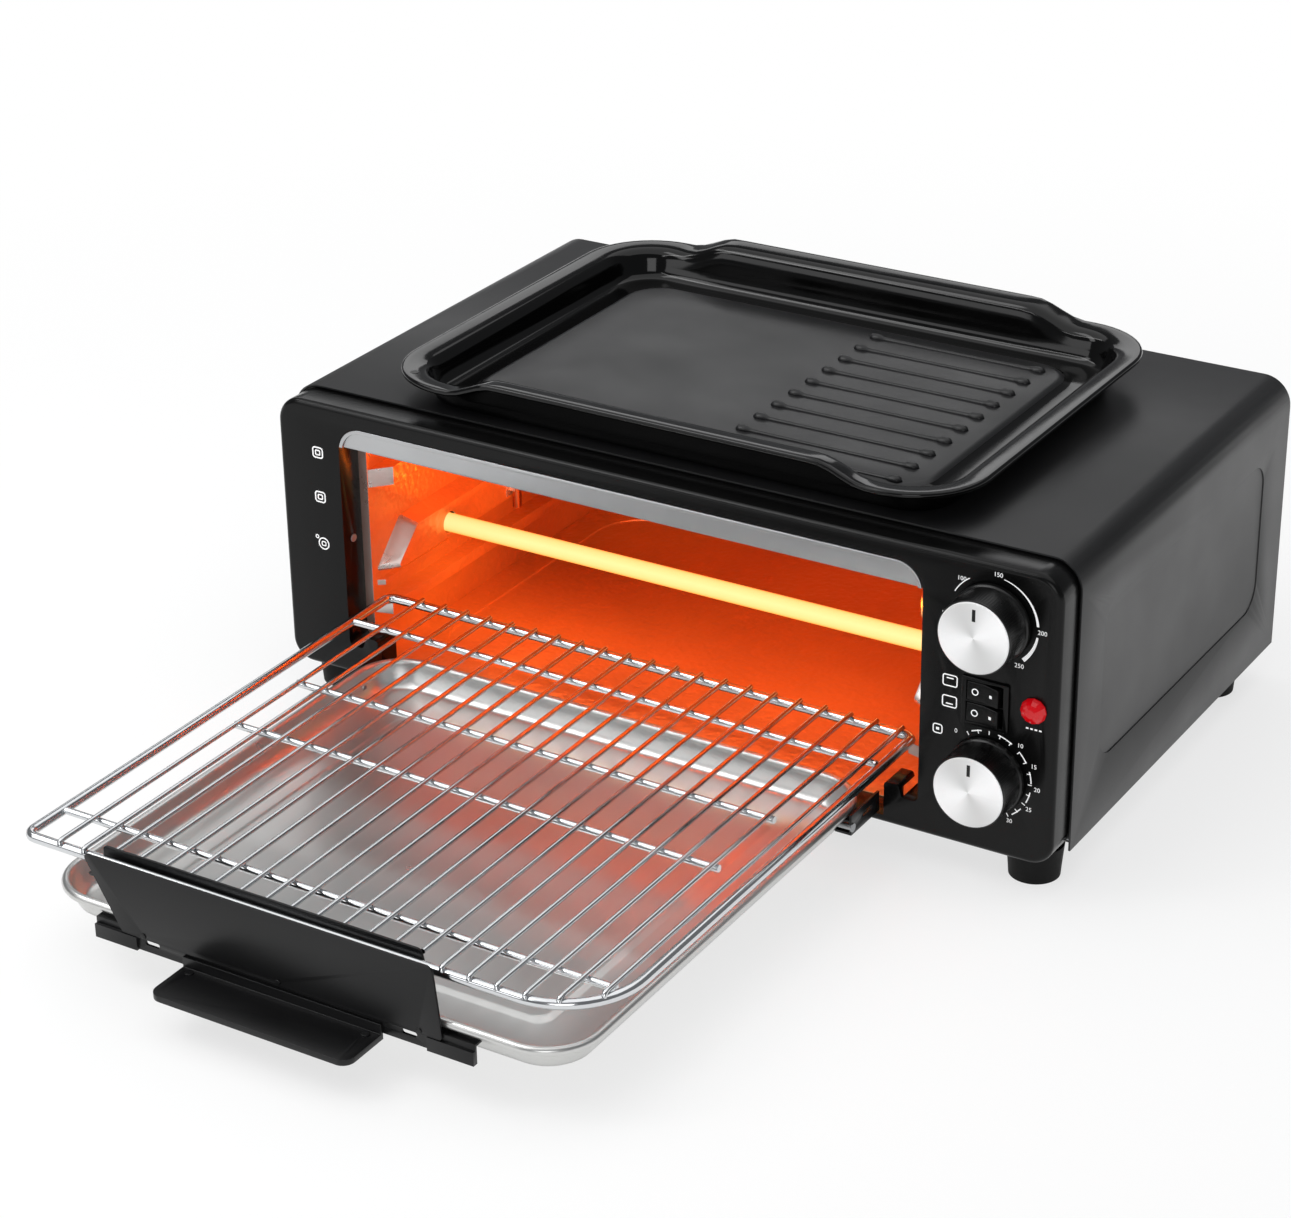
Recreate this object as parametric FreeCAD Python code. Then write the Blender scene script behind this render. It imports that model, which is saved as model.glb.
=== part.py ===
"""Mini oven with a pull-out drawer: wire rack over a drip tray, and a griddle pan on top.

Units are millimetres. +Z is up, the front faces -Y and +X is to the right as seen from the front.
While the pieces are made, y = 0 is the front face of the bezel and z = 0 is the ground. At the end
everything moves along y so that the origin is under the middle of the whole part, with the drawer out.
"""
import FreeCAD
import Part
import math
import os

V = FreeCAD.Vector

# Bezel: the moulded front frame
BEZEL_WIDTH = 440.0
BEZEL_HEIGHT = 150.0
BEZEL_LOW = 17.0
BEZEL_DEPTH = 17.0
BEZEL_FACE = 2.5
BEZEL_RIM = 4.0
BEZEL_TOP_RADIUS = 14.0
BEZEL_LOW_RADIUS = 12.0
BEZEL_EDGE_ROUND = 3.0
BOSS_OFFSET = 5.5
BOSS_RISE = 38.0
BOSS_DROP = 27.0
GROOVE_WIDTH = 1.5
GROOVE_DEPTH = 1.8
LIP_LENGTH = 6.5
LEFT_POST = 38.0
CONTROL_POST = 70.0
TOP_BAND = 9.0
JAMB_DEPTH = 16.0
JAMB_WALL = 2.5
OPENING_RADIUS = 14.0
JAMB_PIN_Y = 8.0
JAMB_PIN_DROP = 75.0
JAMB_PIN_RADIUS = 1.2
SILL_TOP = 21.5
DIP_LOW = 33.5
HUMP_TOP = 40.0
DIP_WIDTH = 8.5
HUMP_WIDTH = 9.5

# Bright strip across the top of the opening
TRIM_OVERLAP = 6.0
TRIM_GAP = 0.4
TRIM_SHEET = 0.8
TRIM_FRONT = 1.0
TRIM_BEAD = 2.0
TRIM_BEAD_PROUD = 0.4
TRIM_TAB = 24.0
TRIM_TAB_INSET = 40.0

# Shell and chassis sheets
SHELL_SHEET = 1.0
SHELL_STEP = 1.5
SHELL_FLANGE = 10.0
SHELL_BEND = 15.0
BODY_DEPTH = 270.0
BASE_SHEET = 0.8
DISH_DEPTH = 7.6
DISH_INSET = 8.0
DISH_FRONT = 32.0
DISH_BACK_INSET = 20.0
DISH_CORNER = 20.0
DISH_SLOTS = 12
DISH_SLOT_PITCH = 20.0
DISH_SLOT_SPAN = (120.0, 160.0)
SLOT_HALF = 2.0
SLOT_RADIUS = 1.9
BACK_SHEET = 0.8
BACK_RIM = 8.0
BACK_SCREW_RISE = 28.0
BACK_SCREW_DROP = 42.0
BACK_SCREW_SHARE = 0.5
VENT_COLUMNS = 14
VENT_PITCH = 18.0
VENT_OFFSETS = (-32.0, 18.0)
VENT_HALF = 16.0
GLAND_Z = 40.0
GLAND_RADIUS = 6.0
GLAND_COLLAR = 8.5
GLAND_LIP = 7.5
GLAND_REACH = 6.0
GLAND_BORE = 3.4
SEAT_GAP = 0.3
SIDE_RECESS = 0.5
SIDE_PANEL_FRONT = 46.0
SIDE_PANEL_BACK_INSET = 30.0
SIDE_PANEL_RISE = 36.0
SIDE_PANEL_DROP = 32.0
SIDE_PANEL_CORNER = 14.0
FOOT_RADIUS = 14.0
FOOT_FRONT_INSET = 18.0
FOOT_FRONT_Y = 22.0
FOOT_BACK_INSET = 20.0
FOOT_BACK_GAP = 30.0
FOOT_BOSS_RADIUS = 8.0
FOOT_RECESS_RADIUS = 5.0
FOOT_RECESS_DEPTH = 8.0

# Cooking cavity
CAVITY_SHEET = 0.8
CAVITY_SIDE_STEP = 5.0
CAVITY_FLOOR = 22.0
CAVITY_ROOF_DROP = 6.0
CAVITY_BACK_GAP = 9.0
WALL_FLANGE = 18.0
SEAM_FLANGE = 8.0
RAIL_DEPTH = 10.0
RACK_RAIL_HEIGHT = 6.2
UPPER_RAIL_DROP = 34.0
UPPER_RAIL_HEIGHT = 10.0
UPPER_RAIL_DEPTH = 9.0
UPPER_RAIL_END_GAP = 15.0
GUIDE_RAIL_LOW = 61.0
GUIDE_RAIL_HEIGHT = 3.0
GUIDE_RAIL_DEPTH = 3.5
GUIDE_RAIL_END = 82.0
COVER_DEPTH = 11.0
COVER_LOW = 68.0
COVER_TOP = 93.0
COVER_FRONT = 18.0
COVER_SHOULDER = 24.0
COVER_BACK_GAP = 35.0
SIDE_MARK_RADIUS = 3.5
SIDE_MARK_Y = 21.0
SIDE_MARK_DROP = 14.4
FLOOR_PRESSING = 1.2
FLOOR_PRESSING_INSET = 17.0
FLOOR_PRESSING_ENDS = (20.0, 25.0)
FLOOR_PRESSING_RADIUS = 30.0
SHIELD_OFFSET = 16.5
SHIELD_GAP = 6.0
RAIL_NOSE = 2.5
UPPER_RAIL_NOSE = 10.0
COVER_DRAFT = 3.0
BACK_PAD_INSET = 40.0
BACK_PAD_MARGIN = 25.0
BACK_PAD_RADIUS = 18.0
BACK_PAD_DEPTH = 0.5

# Heaters
TUBE_RADIUS = 5.0
TUBE_WALL = 1.0
TUBE_Z = 79.0
FRONT_TUBE_Y = 72.0
REAR_TUBE_GAP = 71.0
TUBE_REACH = 16.0
COIL_RADIUS = 2.8
PIN_RADIUS = 1.0
PIN_REACH = 4.0
CAP_RADIUS = 6.5
CAP_LENGTH = 14.0
TUBE_HOLE_RADIUS = 6.0
BRACKET_OFFSET = 8.0
BRACKET_SHEET = 1.0
BRACKET_WIDTH = 22.0
BRACKET_LOW = 9.0
BRACKET_RISE = 10.0
BRACKET_TAB = 8.0
LOW_HEATER_RADIUS = 3.2
LOW_HEATER_Z = 16.2
LOW_HEATER_FRONT = 75.0
LOW_HEATER_BACK_GAP = 66.0
LOW_HEATER_INSET = 30.0
LOW_HEATER_END = 10.0
LOW_HEATER_BEND = 30.0
LOW_CLIP_OFFSETS = (-60.0, 90.0)
SENSOR_Y = 131.0
SENSOR_RADIUS = 2.5
SENSOR_SHEET = 0.8
SENSOR_HALF_WIDTH = 6.0
SENSOR_ARM_REACH = 4.2
SENSOR_ARM_OFFSET = 3.0

# Controls on the right post
CONTROL_INSET = 34.0
TEMPERATURE_SHARE = 0.19
TIMER_SHARE = 0.28
KNOB_RADIUS = 18.5
KNOB_LENGTH = 19.4
KNOB_GAP = 1.0
KNOB_SKIRT = 0.8
CAP_FACE_RADIUS = 17.8
CAP_FACE_SHEET = 1.2
CAP_FACE_PROUD = 0.6
KNOB_SKIRT_DEPTH = 3.0
KNOB_EDGE_ROUND = 0.7
KNOB_WALL = 2.0
KNOB_HUB_WALL = 3.0
MARK_HALF = 0.9
MARK_SPAN = (8.5, 14.5)
SHAFT_RADIUS = 3.0
SHAFT_CLEARANCE = 0.05
SHAFT_FLAT = 1.0
PRESS_CLEARANCE = 0.02
THERMOSTAT_WIDTH = 30.0
THERMOSTAT_DEPTH = 22.0
THERMOSTAT_HEIGHT = 26.0
TIMER_WIDTH = 34.0
TIMER_DEPTH = 28.0
TIMER_HEIGHT = 40.0
BELL_RADIUS = 15.0
BELL_HEIGHT = 9.0
BELL_TAPER = 4.0
BELL_SHEET = 1.0
BELL_STANDOFF = 2.0
BELL_LIFT = 2.0
BLADE_RISE = 4.0
BLADE_WIDTH = 6.0
BLADE_LENGTH = 7.0
BLADE_SHEET = 0.8
BLADE_OFFSET = 9.0
CONTROL_SCREW_PITCH = 22.0
SWITCH_INSET = 36.5
SWITCH_DROP = 3.45
SWITCH_PITCH = 11.0
SWITCH_FRAME = 1.2
SWITCH_END = 2.4
SWITCH_SIDE = 0.9
SWITCH_DEPTH = 18.0
TERMINAL_OFFSET = 5.5
TERMINAL_LENGTH = 8.0
ROCKER_END_GAP = 0.9
ROCKER_LENGTH = 17.0
ROCKER_HEIGHT = 9.4
ROCKER_PROUD = 3.8
ROCKER_TILT = 8.0
ROCKER_PIVOT_Y = 1.0
ROCKER_BARREL = 3.6
LAMP_INSET = 12.0
LAMP_RISE = 2.7
LAMP_RADIUS = 6.5
LAMP_SHANK = 5.0
LAMP_SHANK_LENGTH = 9.0
LAMP_HOLDER_WALL = 1.8
LAMP_HOLDER_BACK = 16.0
BLOCK_WIDTH = 20.0
BLOCK_FRONT = 195.0
BLOCK_LENGTH = 40.0
BLOCK_HEIGHT = 14.0
BLOCK_BORE = 2.2

# Tray
TRAY_SIDE_GAP = 22.0
TRAY_LENGTH = 273.0
TRAY_FRONT = -272.0
TRAY_HEIGHT = 14.5
TRAY_SHEET = 0.7
TRAY_BEAD = 2.3
TRAY_SLOPE = 6.0
TRAY_CORNER = 27.0
TRAY_PLATEAU_INSET = 34.0
TRAY_PLATEAU = 1.2
TRAY_HOLE_OFFSET = 73.0
TRAY_HOLE_Y = -257.0
TRAY_HOLE_RADIUS = 2.5
TRAY_CLIP_SHEET = 1.2
TRAY_CLIP_LENGTH = 28.0
TRAY_CLIP_REACH = 2.2
TRAY_CLIP_LOW = 24.0
TRAY_CLIP_TOP = 31.8
TRAY_CLIP_TAB = 12.0
TRAY_CLIP_RIVET_Z = 28.0
TRAY_CLIP_SLOT = (9.0, 2.4)
TRAY_PLATEAU_SHARPER = 8.0

# Rack
RACK_SIDE_GAP = 10.0
RACK_FRONT = -268.0
RACK_BACK = 22.0
RACK_Z = 56.0
RACK_WIRE = 2.5
RACK_THIN = 1.25
RACK_RIGHT_RADIUS = 38.0
RACK_LEFT_RADIUS = 6.0
RACK_BACK_RADIUS = 5.0
RACK_WIRES = 21
RACK_WIRE_SHIFT = 8.0
RACK_WIRE_MARGIN = 16.3
RACK_CROSS_RADIUS = 1.8
RACK_CROSS_FULL = (-14.0, -240.0)
RACK_CROSS_SHORT = (-84.0, -134.0)
RACK_CROSS_SHORT_INSET = 20.4

# Handle
HANDLE_SHEET = 1.2
PLATE_TOP = 63.5
PLATE_LOW = 28.0
PLATE_TOP_REACH = (112.0, 78.0)
PLATE_LOW_REACH = (92.0, 82.0)
CHANNEL_REACH = (110.0, 66.0)
CHANNEL_TOP = 61.5
CHANNEL_GAP = 0.5
CHANNEL_FLANGE = 12.0
STRIP_REACH = (108.0, 98.0)
STRIP_LOW = 21.0
STRIP_TOP = 31.0
STRIP_CLIP = 24.0
STRIP_CLIP_PROUD = 1.6
STRIP_SLOT_REACH = (76.0, 64.0)
STRIP_SLOT_Z = (24.6, 27.0)
STRIP_SLOT_HALF = 4.0
STRIP_RIVET = 1.0
STRIP_RIVET_HEAD = 1.4
GRIP_REACH = (58.0, 50.0)
GRIP_FRONT = -300.0
GRIP_TOP = 21.0
GRIP_SHEET = 1.5
GRIP_LIP = 3.0
GRIP_RADIUS = 6.0
GRIP_FLANGE = 5.0
GRIP_RIVET_Y = -278.0
GRIP_RIVET_INSET = 6.0
RIVET_RADIUS = 1.6
RIVET_HEAD = 2.2
RIVET_HEAD_HEIGHT = 0.6

# Griddle pan
PAN_LEFT_INSET = 54.0
PAN_RIGHT_INSET = 60.0
PAN_FRONT = 8.0
PAN_BACK_GAP = 18.0
PAN_RIM_HEIGHT = 17.5
PAN_SIDE_RISE = 8.0
PAN_CORNER = 40.0
PAN_SHEET = 1.2
PAN_RIM_WIDTH = 13.0
PAN_SIDE_SLOPE = 5.0
PAN_GUTTER = 18.0
PAN_PLATEAU = 3.6
PAN_PLATEAU_SLOPE = 3.0
PAN_PLATEAU_SHARPER = 25.0
PAN_RISE_LEFT = 45.0
PAN_RISE_RIGHT = 46.0
PAN_RISE_RUN = 28.0
RIB_COUNT = 10
RIB_BACK_GAP = 47.0
RIB_FRONT_GAP = 39.5
RIB_LENGTH = 101.0
RIB_HEIGHT = 2.4
RIB_HALF_WIDTH = 3.0
RIB_TIP = 5.0
RIB_TIP_HALF = 1.0
PAN_RISE_BEND = 12.0
PAN_EDGE = 3.0
PAN_HOLE = (15.0, 12.0, 6.0, 3.0)

# Screws
SCREW_RADIUS = 2.0
SCREW_HEAD = 3.6
SCREW_HEAD_HEIGHT = 2.0
SCREW_CLEARANCE = 0.05
SMALL_SCREW = 1.5
SMALL_HEAD = 2.8

# Derived places
HALF = BEZEL_WIDTH / 2
BEZEL_TOP = BEZEL_LOW + BEZEL_HEIGHT
OPEN_LEFT = -HALF + LEFT_POST
OPEN_RIGHT = HALF - CONTROL_POST
OPEN_TOP = BEZEL_TOP - TOP_BAND
OPEN_MID = (OPEN_LEFT + OPEN_RIGHT) / 2
OPEN_WIDTH = OPEN_RIGHT - OPEN_LEFT
BEZEL_MIDDLE = BEZEL_LOW + BEZEL_HEIGHT / 2
JAMB_PIN_Z = BEZEL_TOP - JAMB_PIN_DROP
BOSS_LEVELS = (BEZEL_LOW + BOSS_RISE, BEZEL_TOP - BOSS_DROP)
CONTROL_X = HALF - CONTROL_INSET
TEMPERATURE_Z = BEZEL_TOP - BEZEL_HEIGHT * TEMPERATURE_SHARE
TIMER_Z = BEZEL_LOW + BEZEL_HEIGHT * TIMER_SHARE
SWITCH_X = HALF - SWITCH_INSET
SWITCH_Z = (TEMPERATURE_Z + TIMER_Z) / 2 - SWITCH_DROP
LAMP_X = HALF - LAMP_INSET
LAMP_Z = SWITCH_Z + LAMP_RISE
SHELL_HALF = HALF + SHELL_STEP
SHELL_TOP = BEZEL_TOP + SHELL_STEP
SHELL_INNER = SHELL_HALF - SHELL_SHEET
SHELL_FRONT = BEZEL_DEPTH + GROOVE_WIDTH - 0.5
SIDE_PANEL_BACK = BODY_DEPTH - SIDE_PANEL_BACK_INSET
SIDE_PANEL_LOW = BEZEL_LOW + SIDE_PANEL_RISE
SIDE_PANEL_TOP = BEZEL_TOP - SIDE_PANEL_DROP
BACK_SCREW_LEVELS = (BEZEL_LOW + BACK_SCREW_RISE, BEZEL_TOP - BACK_SCREW_DROP)
BACK_SCREW_TOP_X = HALF * BACK_SCREW_SHARE
VENT_LEVELS = [BEZEL_MIDDLE + offset for offset in VENT_OFFSETS]
FOOT_FRONT_X = HALF - FOOT_FRONT_INSET
FOOT_BACK_X = HALF - FOOT_BACK_INSET
FOOT_BACK_Y = BODY_DEPTH - FOOT_BACK_GAP
CAVITY_LEFT = OPEN_LEFT + CAVITY_SIDE_STEP
CAVITY_RIGHT = OPEN_RIGHT - CAVITY_SIDE_STEP
CAVITY_BACK = BODY_DEPTH - CAVITY_BACK_GAP
CAVITY_ROOF = OPEN_TOP - CAVITY_ROOF_DROP
UPPER_RAIL_LOW = CAVITY_ROOF - UPPER_RAIL_DROP
UPPER_RAIL_END = CAVITY_BACK - UPPER_RAIL_END_GAP
COVER_BACK = CAVITY_BACK - COVER_BACK_GAP
SIDE_MARK_Z = CAVITY_ROOF - SIDE_MARK_DROP
SHIELD_X = OPEN_RIGHT + SHIELD_OFFSET
REAR_TUBE_Y = CAVITY_BACK - REAR_TUBE_GAP
LOW_HEATER_BACK = CAVITY_BACK - LOW_HEATER_BACK_GAP
DISH_BACK = BODY_DEPTH - DISH_BACK_INSET
FLOOR_UNDER = CAVITY_FLOOR - CAVITY_SHEET
BASE_TOP = FLOOR_UNDER - CAVITY_SHEET
BASE_UNDER = BASE_TOP - BASE_SHEET
SHELL_FOOT = BASE_UNDER - SHELL_SHEET
LIP_BACK = BEZEL_DEPTH + GROOVE_WIDTH + LIP_LENGTH
LIP_HALF = SHELL_INNER - SEAT_GAP
LIP_UNDER = BEZEL_LOW
BASE_FRONT = LIP_BACK + SEAT_GAP
REAR_FLANGE_FRONT = BODY_DEPTH - SHELL_SHEET
BACK_PANEL_FRONT = REAR_FLANGE_FRONT - BACK_SHEET
DISH_TOP = BASE_TOP - DISH_DEPTH
TRAY_UNDER = CAVITY_FLOOR + SEAT_GAP
TRAY_MID = OPEN_MID
TRAY_WIDTH = OPEN_WIDTH - 2 * TRAY_SIDE_GAP
TRAY_HOLE_X = TRAY_MID + TRAY_HOLE_OFFSET
RACK_WIDTH = OPEN_WIDTH - 2 * RACK_SIDE_GAP
RACK_WIRE_PITCH = (RACK_WIDTH - 2 * RACK_WIRE_MARGIN) / (RACK_WIRES - 1)
RACK_WIRE_FIRST = TRAY_MID + RACK_WIRE_SHIFT - RACK_WIRE_PITCH * (RACK_WIRES - 1) / 2
RACK_CROSS_SHORT_END = TRAY_MID + RACK_WIDTH / 2 - RACK_CROSS_SHORT_INSET
PLATE_TOP_SPAN = (TRAY_MID - PLATE_TOP_REACH[0], TRAY_MID + PLATE_TOP_REACH[1])
PLATE_LOW_SPAN = (TRAY_MID - PLATE_LOW_REACH[0], TRAY_MID + PLATE_LOW_REACH[1])
CHANNEL_SPAN = (TRAY_MID - CHANNEL_REACH[0], TRAY_MID + CHANNEL_REACH[1])
STRIP_SPAN = (TRAY_MID - STRIP_REACH[0], TRAY_MID + STRIP_REACH[1])
STRIP_SLOT_X = (TRAY_MID - STRIP_SLOT_REACH[0], TRAY_MID + STRIP_SLOT_REACH[1])
GRIP_SPAN = (TRAY_MID - GRIP_REACH[0], TRAY_MID + GRIP_REACH[1])
TRAY_RIM_Z = TRAY_UNDER + TRAY_HEIGHT - TRAY_BEAD
RACK_UNDER = RACK_Z - RACK_WIRE
RACK_RAIL_TOP = RACK_UNDER - SEAT_GAP
RACK_TOP_WIRE_Z = RACK_Z + RACK_WIRE + RACK_THIN
STRIP_FRONT = TRAY_FRONT - SEAT_GAP - HANDLE_SHEET
PLATE_BACK = STRIP_FRONT
PLATE_FRONT = PLATE_BACK - HANDLE_SHEET
CHANNEL_BACK = RACK_FRONT + 2 * RACK_WIRE + CHANNEL_GAP + HANDLE_SHEET
PAN_UNDER = SHELL_TOP + SEAT_GAP
PAN_LEFT = -HALF + PAN_LEFT_INSET
PAN_RIGHT = HALF - PAN_RIGHT_INSET
PAN_BACK = BODY_DEPTH - PAN_BACK_GAP
PAN_RISE_START = PAN_LEFT + PAN_RISE_LEFT
PAN_RISE_END = PAN_RIGHT - PAN_RISE_RIGHT
RIB_RIGHT = PAN_RISE_END
RIB_LEFT = RIB_RIGHT - RIB_LENGTH
RIB_BACK_Y = PAN_BACK - RIB_BACK_GAP
RIB_PITCH = (RIB_BACK_Y - PAN_FRONT - RIB_FRONT_GAP) / (RIB_COUNT - 1)
FRONT_Y = -(GRIP_FRONT + BODY_DEPTH + SCREW_HEAD_HEIGHT) / 2


def box(x0, x1, y0, y1, z0, z1):
    return Part.makeBox(x1 - x0, y1 - y0, z1 - z0, V(x0, y0, z0))


def cylinder(axis, a, b, radius, low, high):
    """A round bar along x, y or z; a and b are its other two coordinates in x, y, z order."""
    start = {"x": V(low, a, b), "y": V(a, low, b), "z": V(a, b, low)}[axis]
    direction = {"x": V(1, 0, 0), "y": V(0, 1, 0), "z": V(0, 0, 1)}[axis]
    return Part.makeCylinder(radius, high - low, start, direction)


def to_space(plane, u, v, level):
    if plane == "xy":
        return V(u, v, level)
    if plane == "xz":
        return V(u, level, v)
    return V(level, u, v)


def outline(corners, plane, level):
    """A closed wire through (u, v, radius) corners, each rounded by its own radius."""
    count = len(corners)
    flat = [V(u, v, 0) for u, v, _ in corners]
    edges = []
    ends = []
    for index in range(count):
        point = flat[index]
        radius = corners[index][2]
        back = (flat[index - 1] - point).normalize()
        ahead = (flat[(index + 1) % count] - point).normalize()
        if radius <= 0:
            ends.append((point, None, point))
            continue
        half = math.acos(max(-1.0, min(1.0, back.dot(ahead)))) / 2
        reach = radius / math.tan(half)
        middle = (back + ahead).normalize()
        ends.append((point + back * reach,
                     point + middle * (radius / math.sin(half) - radius),
                     point + ahead * reach))
    for index in range(count):
        start, bulge, end = ends[index]
        place = [to_space(plane, p.x, p.y, level) if p is not None else None for p in (start, bulge, end)]
        if bulge is not None:
            edges.append(Part.Arc(place[0], place[1], place[2]).toShape())
        following = ends[(index + 1) % count][0]
        target = to_space(plane, following.x, following.y, level)
        if (target - place[2]).Length > 1e-6:
            edges.append(Part.makeLine(place[2], target))
    return Part.Wire(edges)


def prism(corners, plane, low, high):
    """The outline pushed from level low to level high along the plane's normal."""
    normal = to_space(plane, 0, 0, 1)
    solid = Part.Face(outline(corners, plane, low)).extrude(normal * (high - low))
    return solid if solid.Volume > 0 else solid.reversed()


def rectangle(u0, u1, v0, v1, low_radius, top_radius=None):
    top = low_radius if top_radius is None else top_radius
    return [(u0, v0, low_radius), (u1, v0, low_radius), (u1, v1, top), (u0, v1, top)]


def loft(low_corners, low_level, top_corners, top_level, plane="xy"):
    wires = [outline(low_corners, plane, low_level), outline(top_corners, plane, top_level)]
    return Part.makeLoft(wires, True, True)


def fuse(shapes):
    result = shapes[0]
    if len(shapes) > 1:
        result = result.multiFuse(shapes[1:])
    return result.removeSplitter()


def mirror_x(shape, middle):
    return shape.mirror(V(middle, 0, 0), V(1, 0, 0))


def both_sides(shapes, middle):
    return shapes + [mirror_x(shape, middle) for shape in shapes]


def wire_bar(points, radii, thickness):
    """A round wire through points in space, with an arc at each inner point."""
    edges = []
    start = points[0]
    for index in range(1, len(points) - 1):
        corner = points[index]
        back = (points[index - 1] - corner).normalize()
        ahead = (points[index + 1] - corner).normalize()
        half = math.acos(max(-1.0, min(1.0, back.dot(ahead)))) / 2
        radius = radii[index - 1]
        reach = radius / math.tan(half)
        middle = (back + ahead).normalize()
        first = corner + back * reach
        last = corner + ahead * reach
        if (first - start).Length > 1e-6:
            edges.append(Part.makeLine(start, first))
        edges.append(Part.Arc(first, corner + middle * (radius / math.sin(half) - radius), last).toShape())
        start = last
    if (points[-1] - start).Length > 1e-6:
        edges.append(Part.makeLine(start, points[-1]))
    return sweep(Part.Wire(edges), points[0], points[1] - points[0], thickness)


def sweep(path, start, direction, thickness):
    section = Part.Wire([Part.makeCircle(thickness, start, direction)])
    return path.makePipeShell([section], True, False)


def screw(x, y, z, axis, sign, shank, head, head_height, length):
    """A screw whose head rests at (x, y, z) and stands out along sign times the axis."""
    low = {"x": x, "y": y, "z": z}[axis]
    others = {"x": (y, z), "y": (x, z), "z": (x, y)}[axis]
    head_span = sorted((low, low + sign * head_height))
    shank_span = sorted((low, low - sign * length))
    parts = [cylinder(axis, others[0], others[1], head, head_span[0], head_span[1]),
             cylinder(axis, others[0], others[1], shank, shank_span[0], shank_span[1])]
    return fuse(parts)


# Shared outlines
def bezel_outline(inset):
    return rectangle(-HALF + inset, HALF - inset, BEZEL_LOW + inset, BEZEL_TOP - inset,
                     BEZEL_LOW_RADIUS - inset, BEZEL_TOP_RADIUS - inset)


def opening_corners(grow):
    """The drawer opening: straight jambs, a dip and a hump at each low corner, then the low sill."""
    half = (OPEN_RIGHT - OPEN_LEFT) / 2 + grow
    dip = half - DIP_WIDTH - grow
    hump = dip - HUMP_WIDTH + grow
    right = [(half, OPEN_TOP + grow, OPENING_RADIUS + grow), (half, DIP_LOW - grow, 3.0 + grow),
             (dip, DIP_LOW - grow, 2.0), (dip - 2.0 + grow, HUMP_TOP - grow, 1.5),
             (hump, HUMP_TOP - grow, 2.0), (hump, SILL_TOP - grow, 0.0)]
    left = [(-u, v, r) for u, v, r in reversed(right)]
    return [(u + OPEN_MID, v, r) for u, v, r in right + left]


def bezel_boss_places():
    x = (OPEN_RIGHT - OPEN_LEFT) / 2 + JAMB_WALL + BOSS_OFFSET
    return [(OPEN_MID + side * x, z) for side in (-1, 1) for z in BOSS_LEVELS]


def control_screw_places():
    half = CONTROL_SCREW_PITCH / 2
    return [(CONTROL_X + side * half, z) for side in (-1, 1) for z in (TEMPERATURE_Z, TIMER_Z)]


def back_screw_places():
    side = SHELL_INNER - SHELL_FLANGE / 2
    top = SHELL_TOP - SHELL_SHEET - SHELL_FLANGE / 2
    places = [(sign * side, z) for sign in (-1, 1) for z in BACK_SCREW_LEVELS]
    return places + [(sign * BACK_SCREW_TOP_X, top) for sign in (-1, 1)]


def foot_places():
    """Each foot's centre, the height it is screwed up to and whether it has a boss."""
    front = [(sign * FOOT_FRONT_X, FOOT_FRONT_Y, BEZEL_LOW) for sign in (-1, 1)]
    back = [(sign * FOOT_BACK_X, FOOT_BACK_Y, BASE_UNDER) for sign in (-1, 1)]
    return front + back


def front_bezel():
    body = prism(bezel_outline(0), "xz", 0, BEZEL_DEPTH)
    front = [edge for edge in body.Edges if edge.BoundBox.YMax < 0.01]
    body = body.makeFillet(BEZEL_EDGE_ROUND, front)
    neck = prism(bezel_outline(GROOVE_DEPTH), "xz", BEZEL_DEPTH - 1, LIP_BACK)
    lip = prism(rectangle(-LIP_HALF, LIP_HALF, LIP_UNDER, SHELL_TOP - SHELL_SHEET - SEAT_GAP,
                          BEZEL_LOW_RADIUS, BEZEL_TOP_RADIUS), "xz", BEZEL_DEPTH + GROOVE_WIDTH, LIP_BACK)
    hollow = prism(bezel_outline(BEZEL_RIM), "xz", BEZEL_FACE, LIP_BACK + 1)
    jamb = prism(opening_corners(JAMB_WALL), "xz", BEZEL_FACE - 0.5, JAMB_DEPTH)
    keep = prism(bezel_outline(BEZEL_RIM - 0.5), "xz", 0, LIP_BACK)
    bosses = [cylinder("y", x, z, SCREW_RADIUS + 2.0, BEZEL_FACE - 0.5, JAMB_DEPTH)
              for x, z in bezel_boss_places()]
    bezel = fuse([body, neck, lip]).cut(hollow)
    bezel = fuse([bezel, jamb.common(keep)] + bosses)
    cuts = [prism(opening_corners(0), "xz", -1, JAMB_DEPTH + 1)]
    cuts += [cylinder("y", x, z, SCREW_RADIUS + SCREW_CLEARANCE, BEZEL_FACE + 1, JAMB_DEPTH + 1)
             for x, z in bezel_boss_places()]
    cuts += [cylinder("y", CONTROL_X, z, SHAFT_RADIUS + 0.6, -1, BEZEL_FACE + 1)
             for z in (TEMPERATURE_Z, TIMER_Z)]
    for x, z in control_screw_places():
        cuts.append(cylinder("y", x, z, SMALL_SCREW + SCREW_CLEARANCE, -1, BEZEL_FACE + 1))
        cuts.append(cylinder("y", x, z, SMALL_HEAD + SCREW_CLEARANCE, -1, 1.0))
    cuts.append(prism(switch_body_outline(SCREW_CLEARANCE), "xz", -1, BEZEL_FACE + 1))
    cuts.append(cylinder("y", LAMP_X, LAMP_Z, LAMP_SHANK + SCREW_CLEARANCE, -1, BEZEL_FACE + 1))
    cuts.append(cylinder("x", JAMB_PIN_Y, JAMB_PIN_Z, JAMB_PIN_RADIUS + SCREW_CLEARANCE,
                         OPEN_LEFT - JAMB_WALL - 1, OPEN_LEFT + 1))
    for x, y, seat in foot_places()[:2]:
        cuts.append(cylinder("z", x, y, SCREW_RADIUS + SCREW_CLEARANCE,
                             BEZEL_LOW - 1, BEZEL_LOW + BEZEL_RIM + 1))
    return bezel.cut(fuse(cuts))


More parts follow.
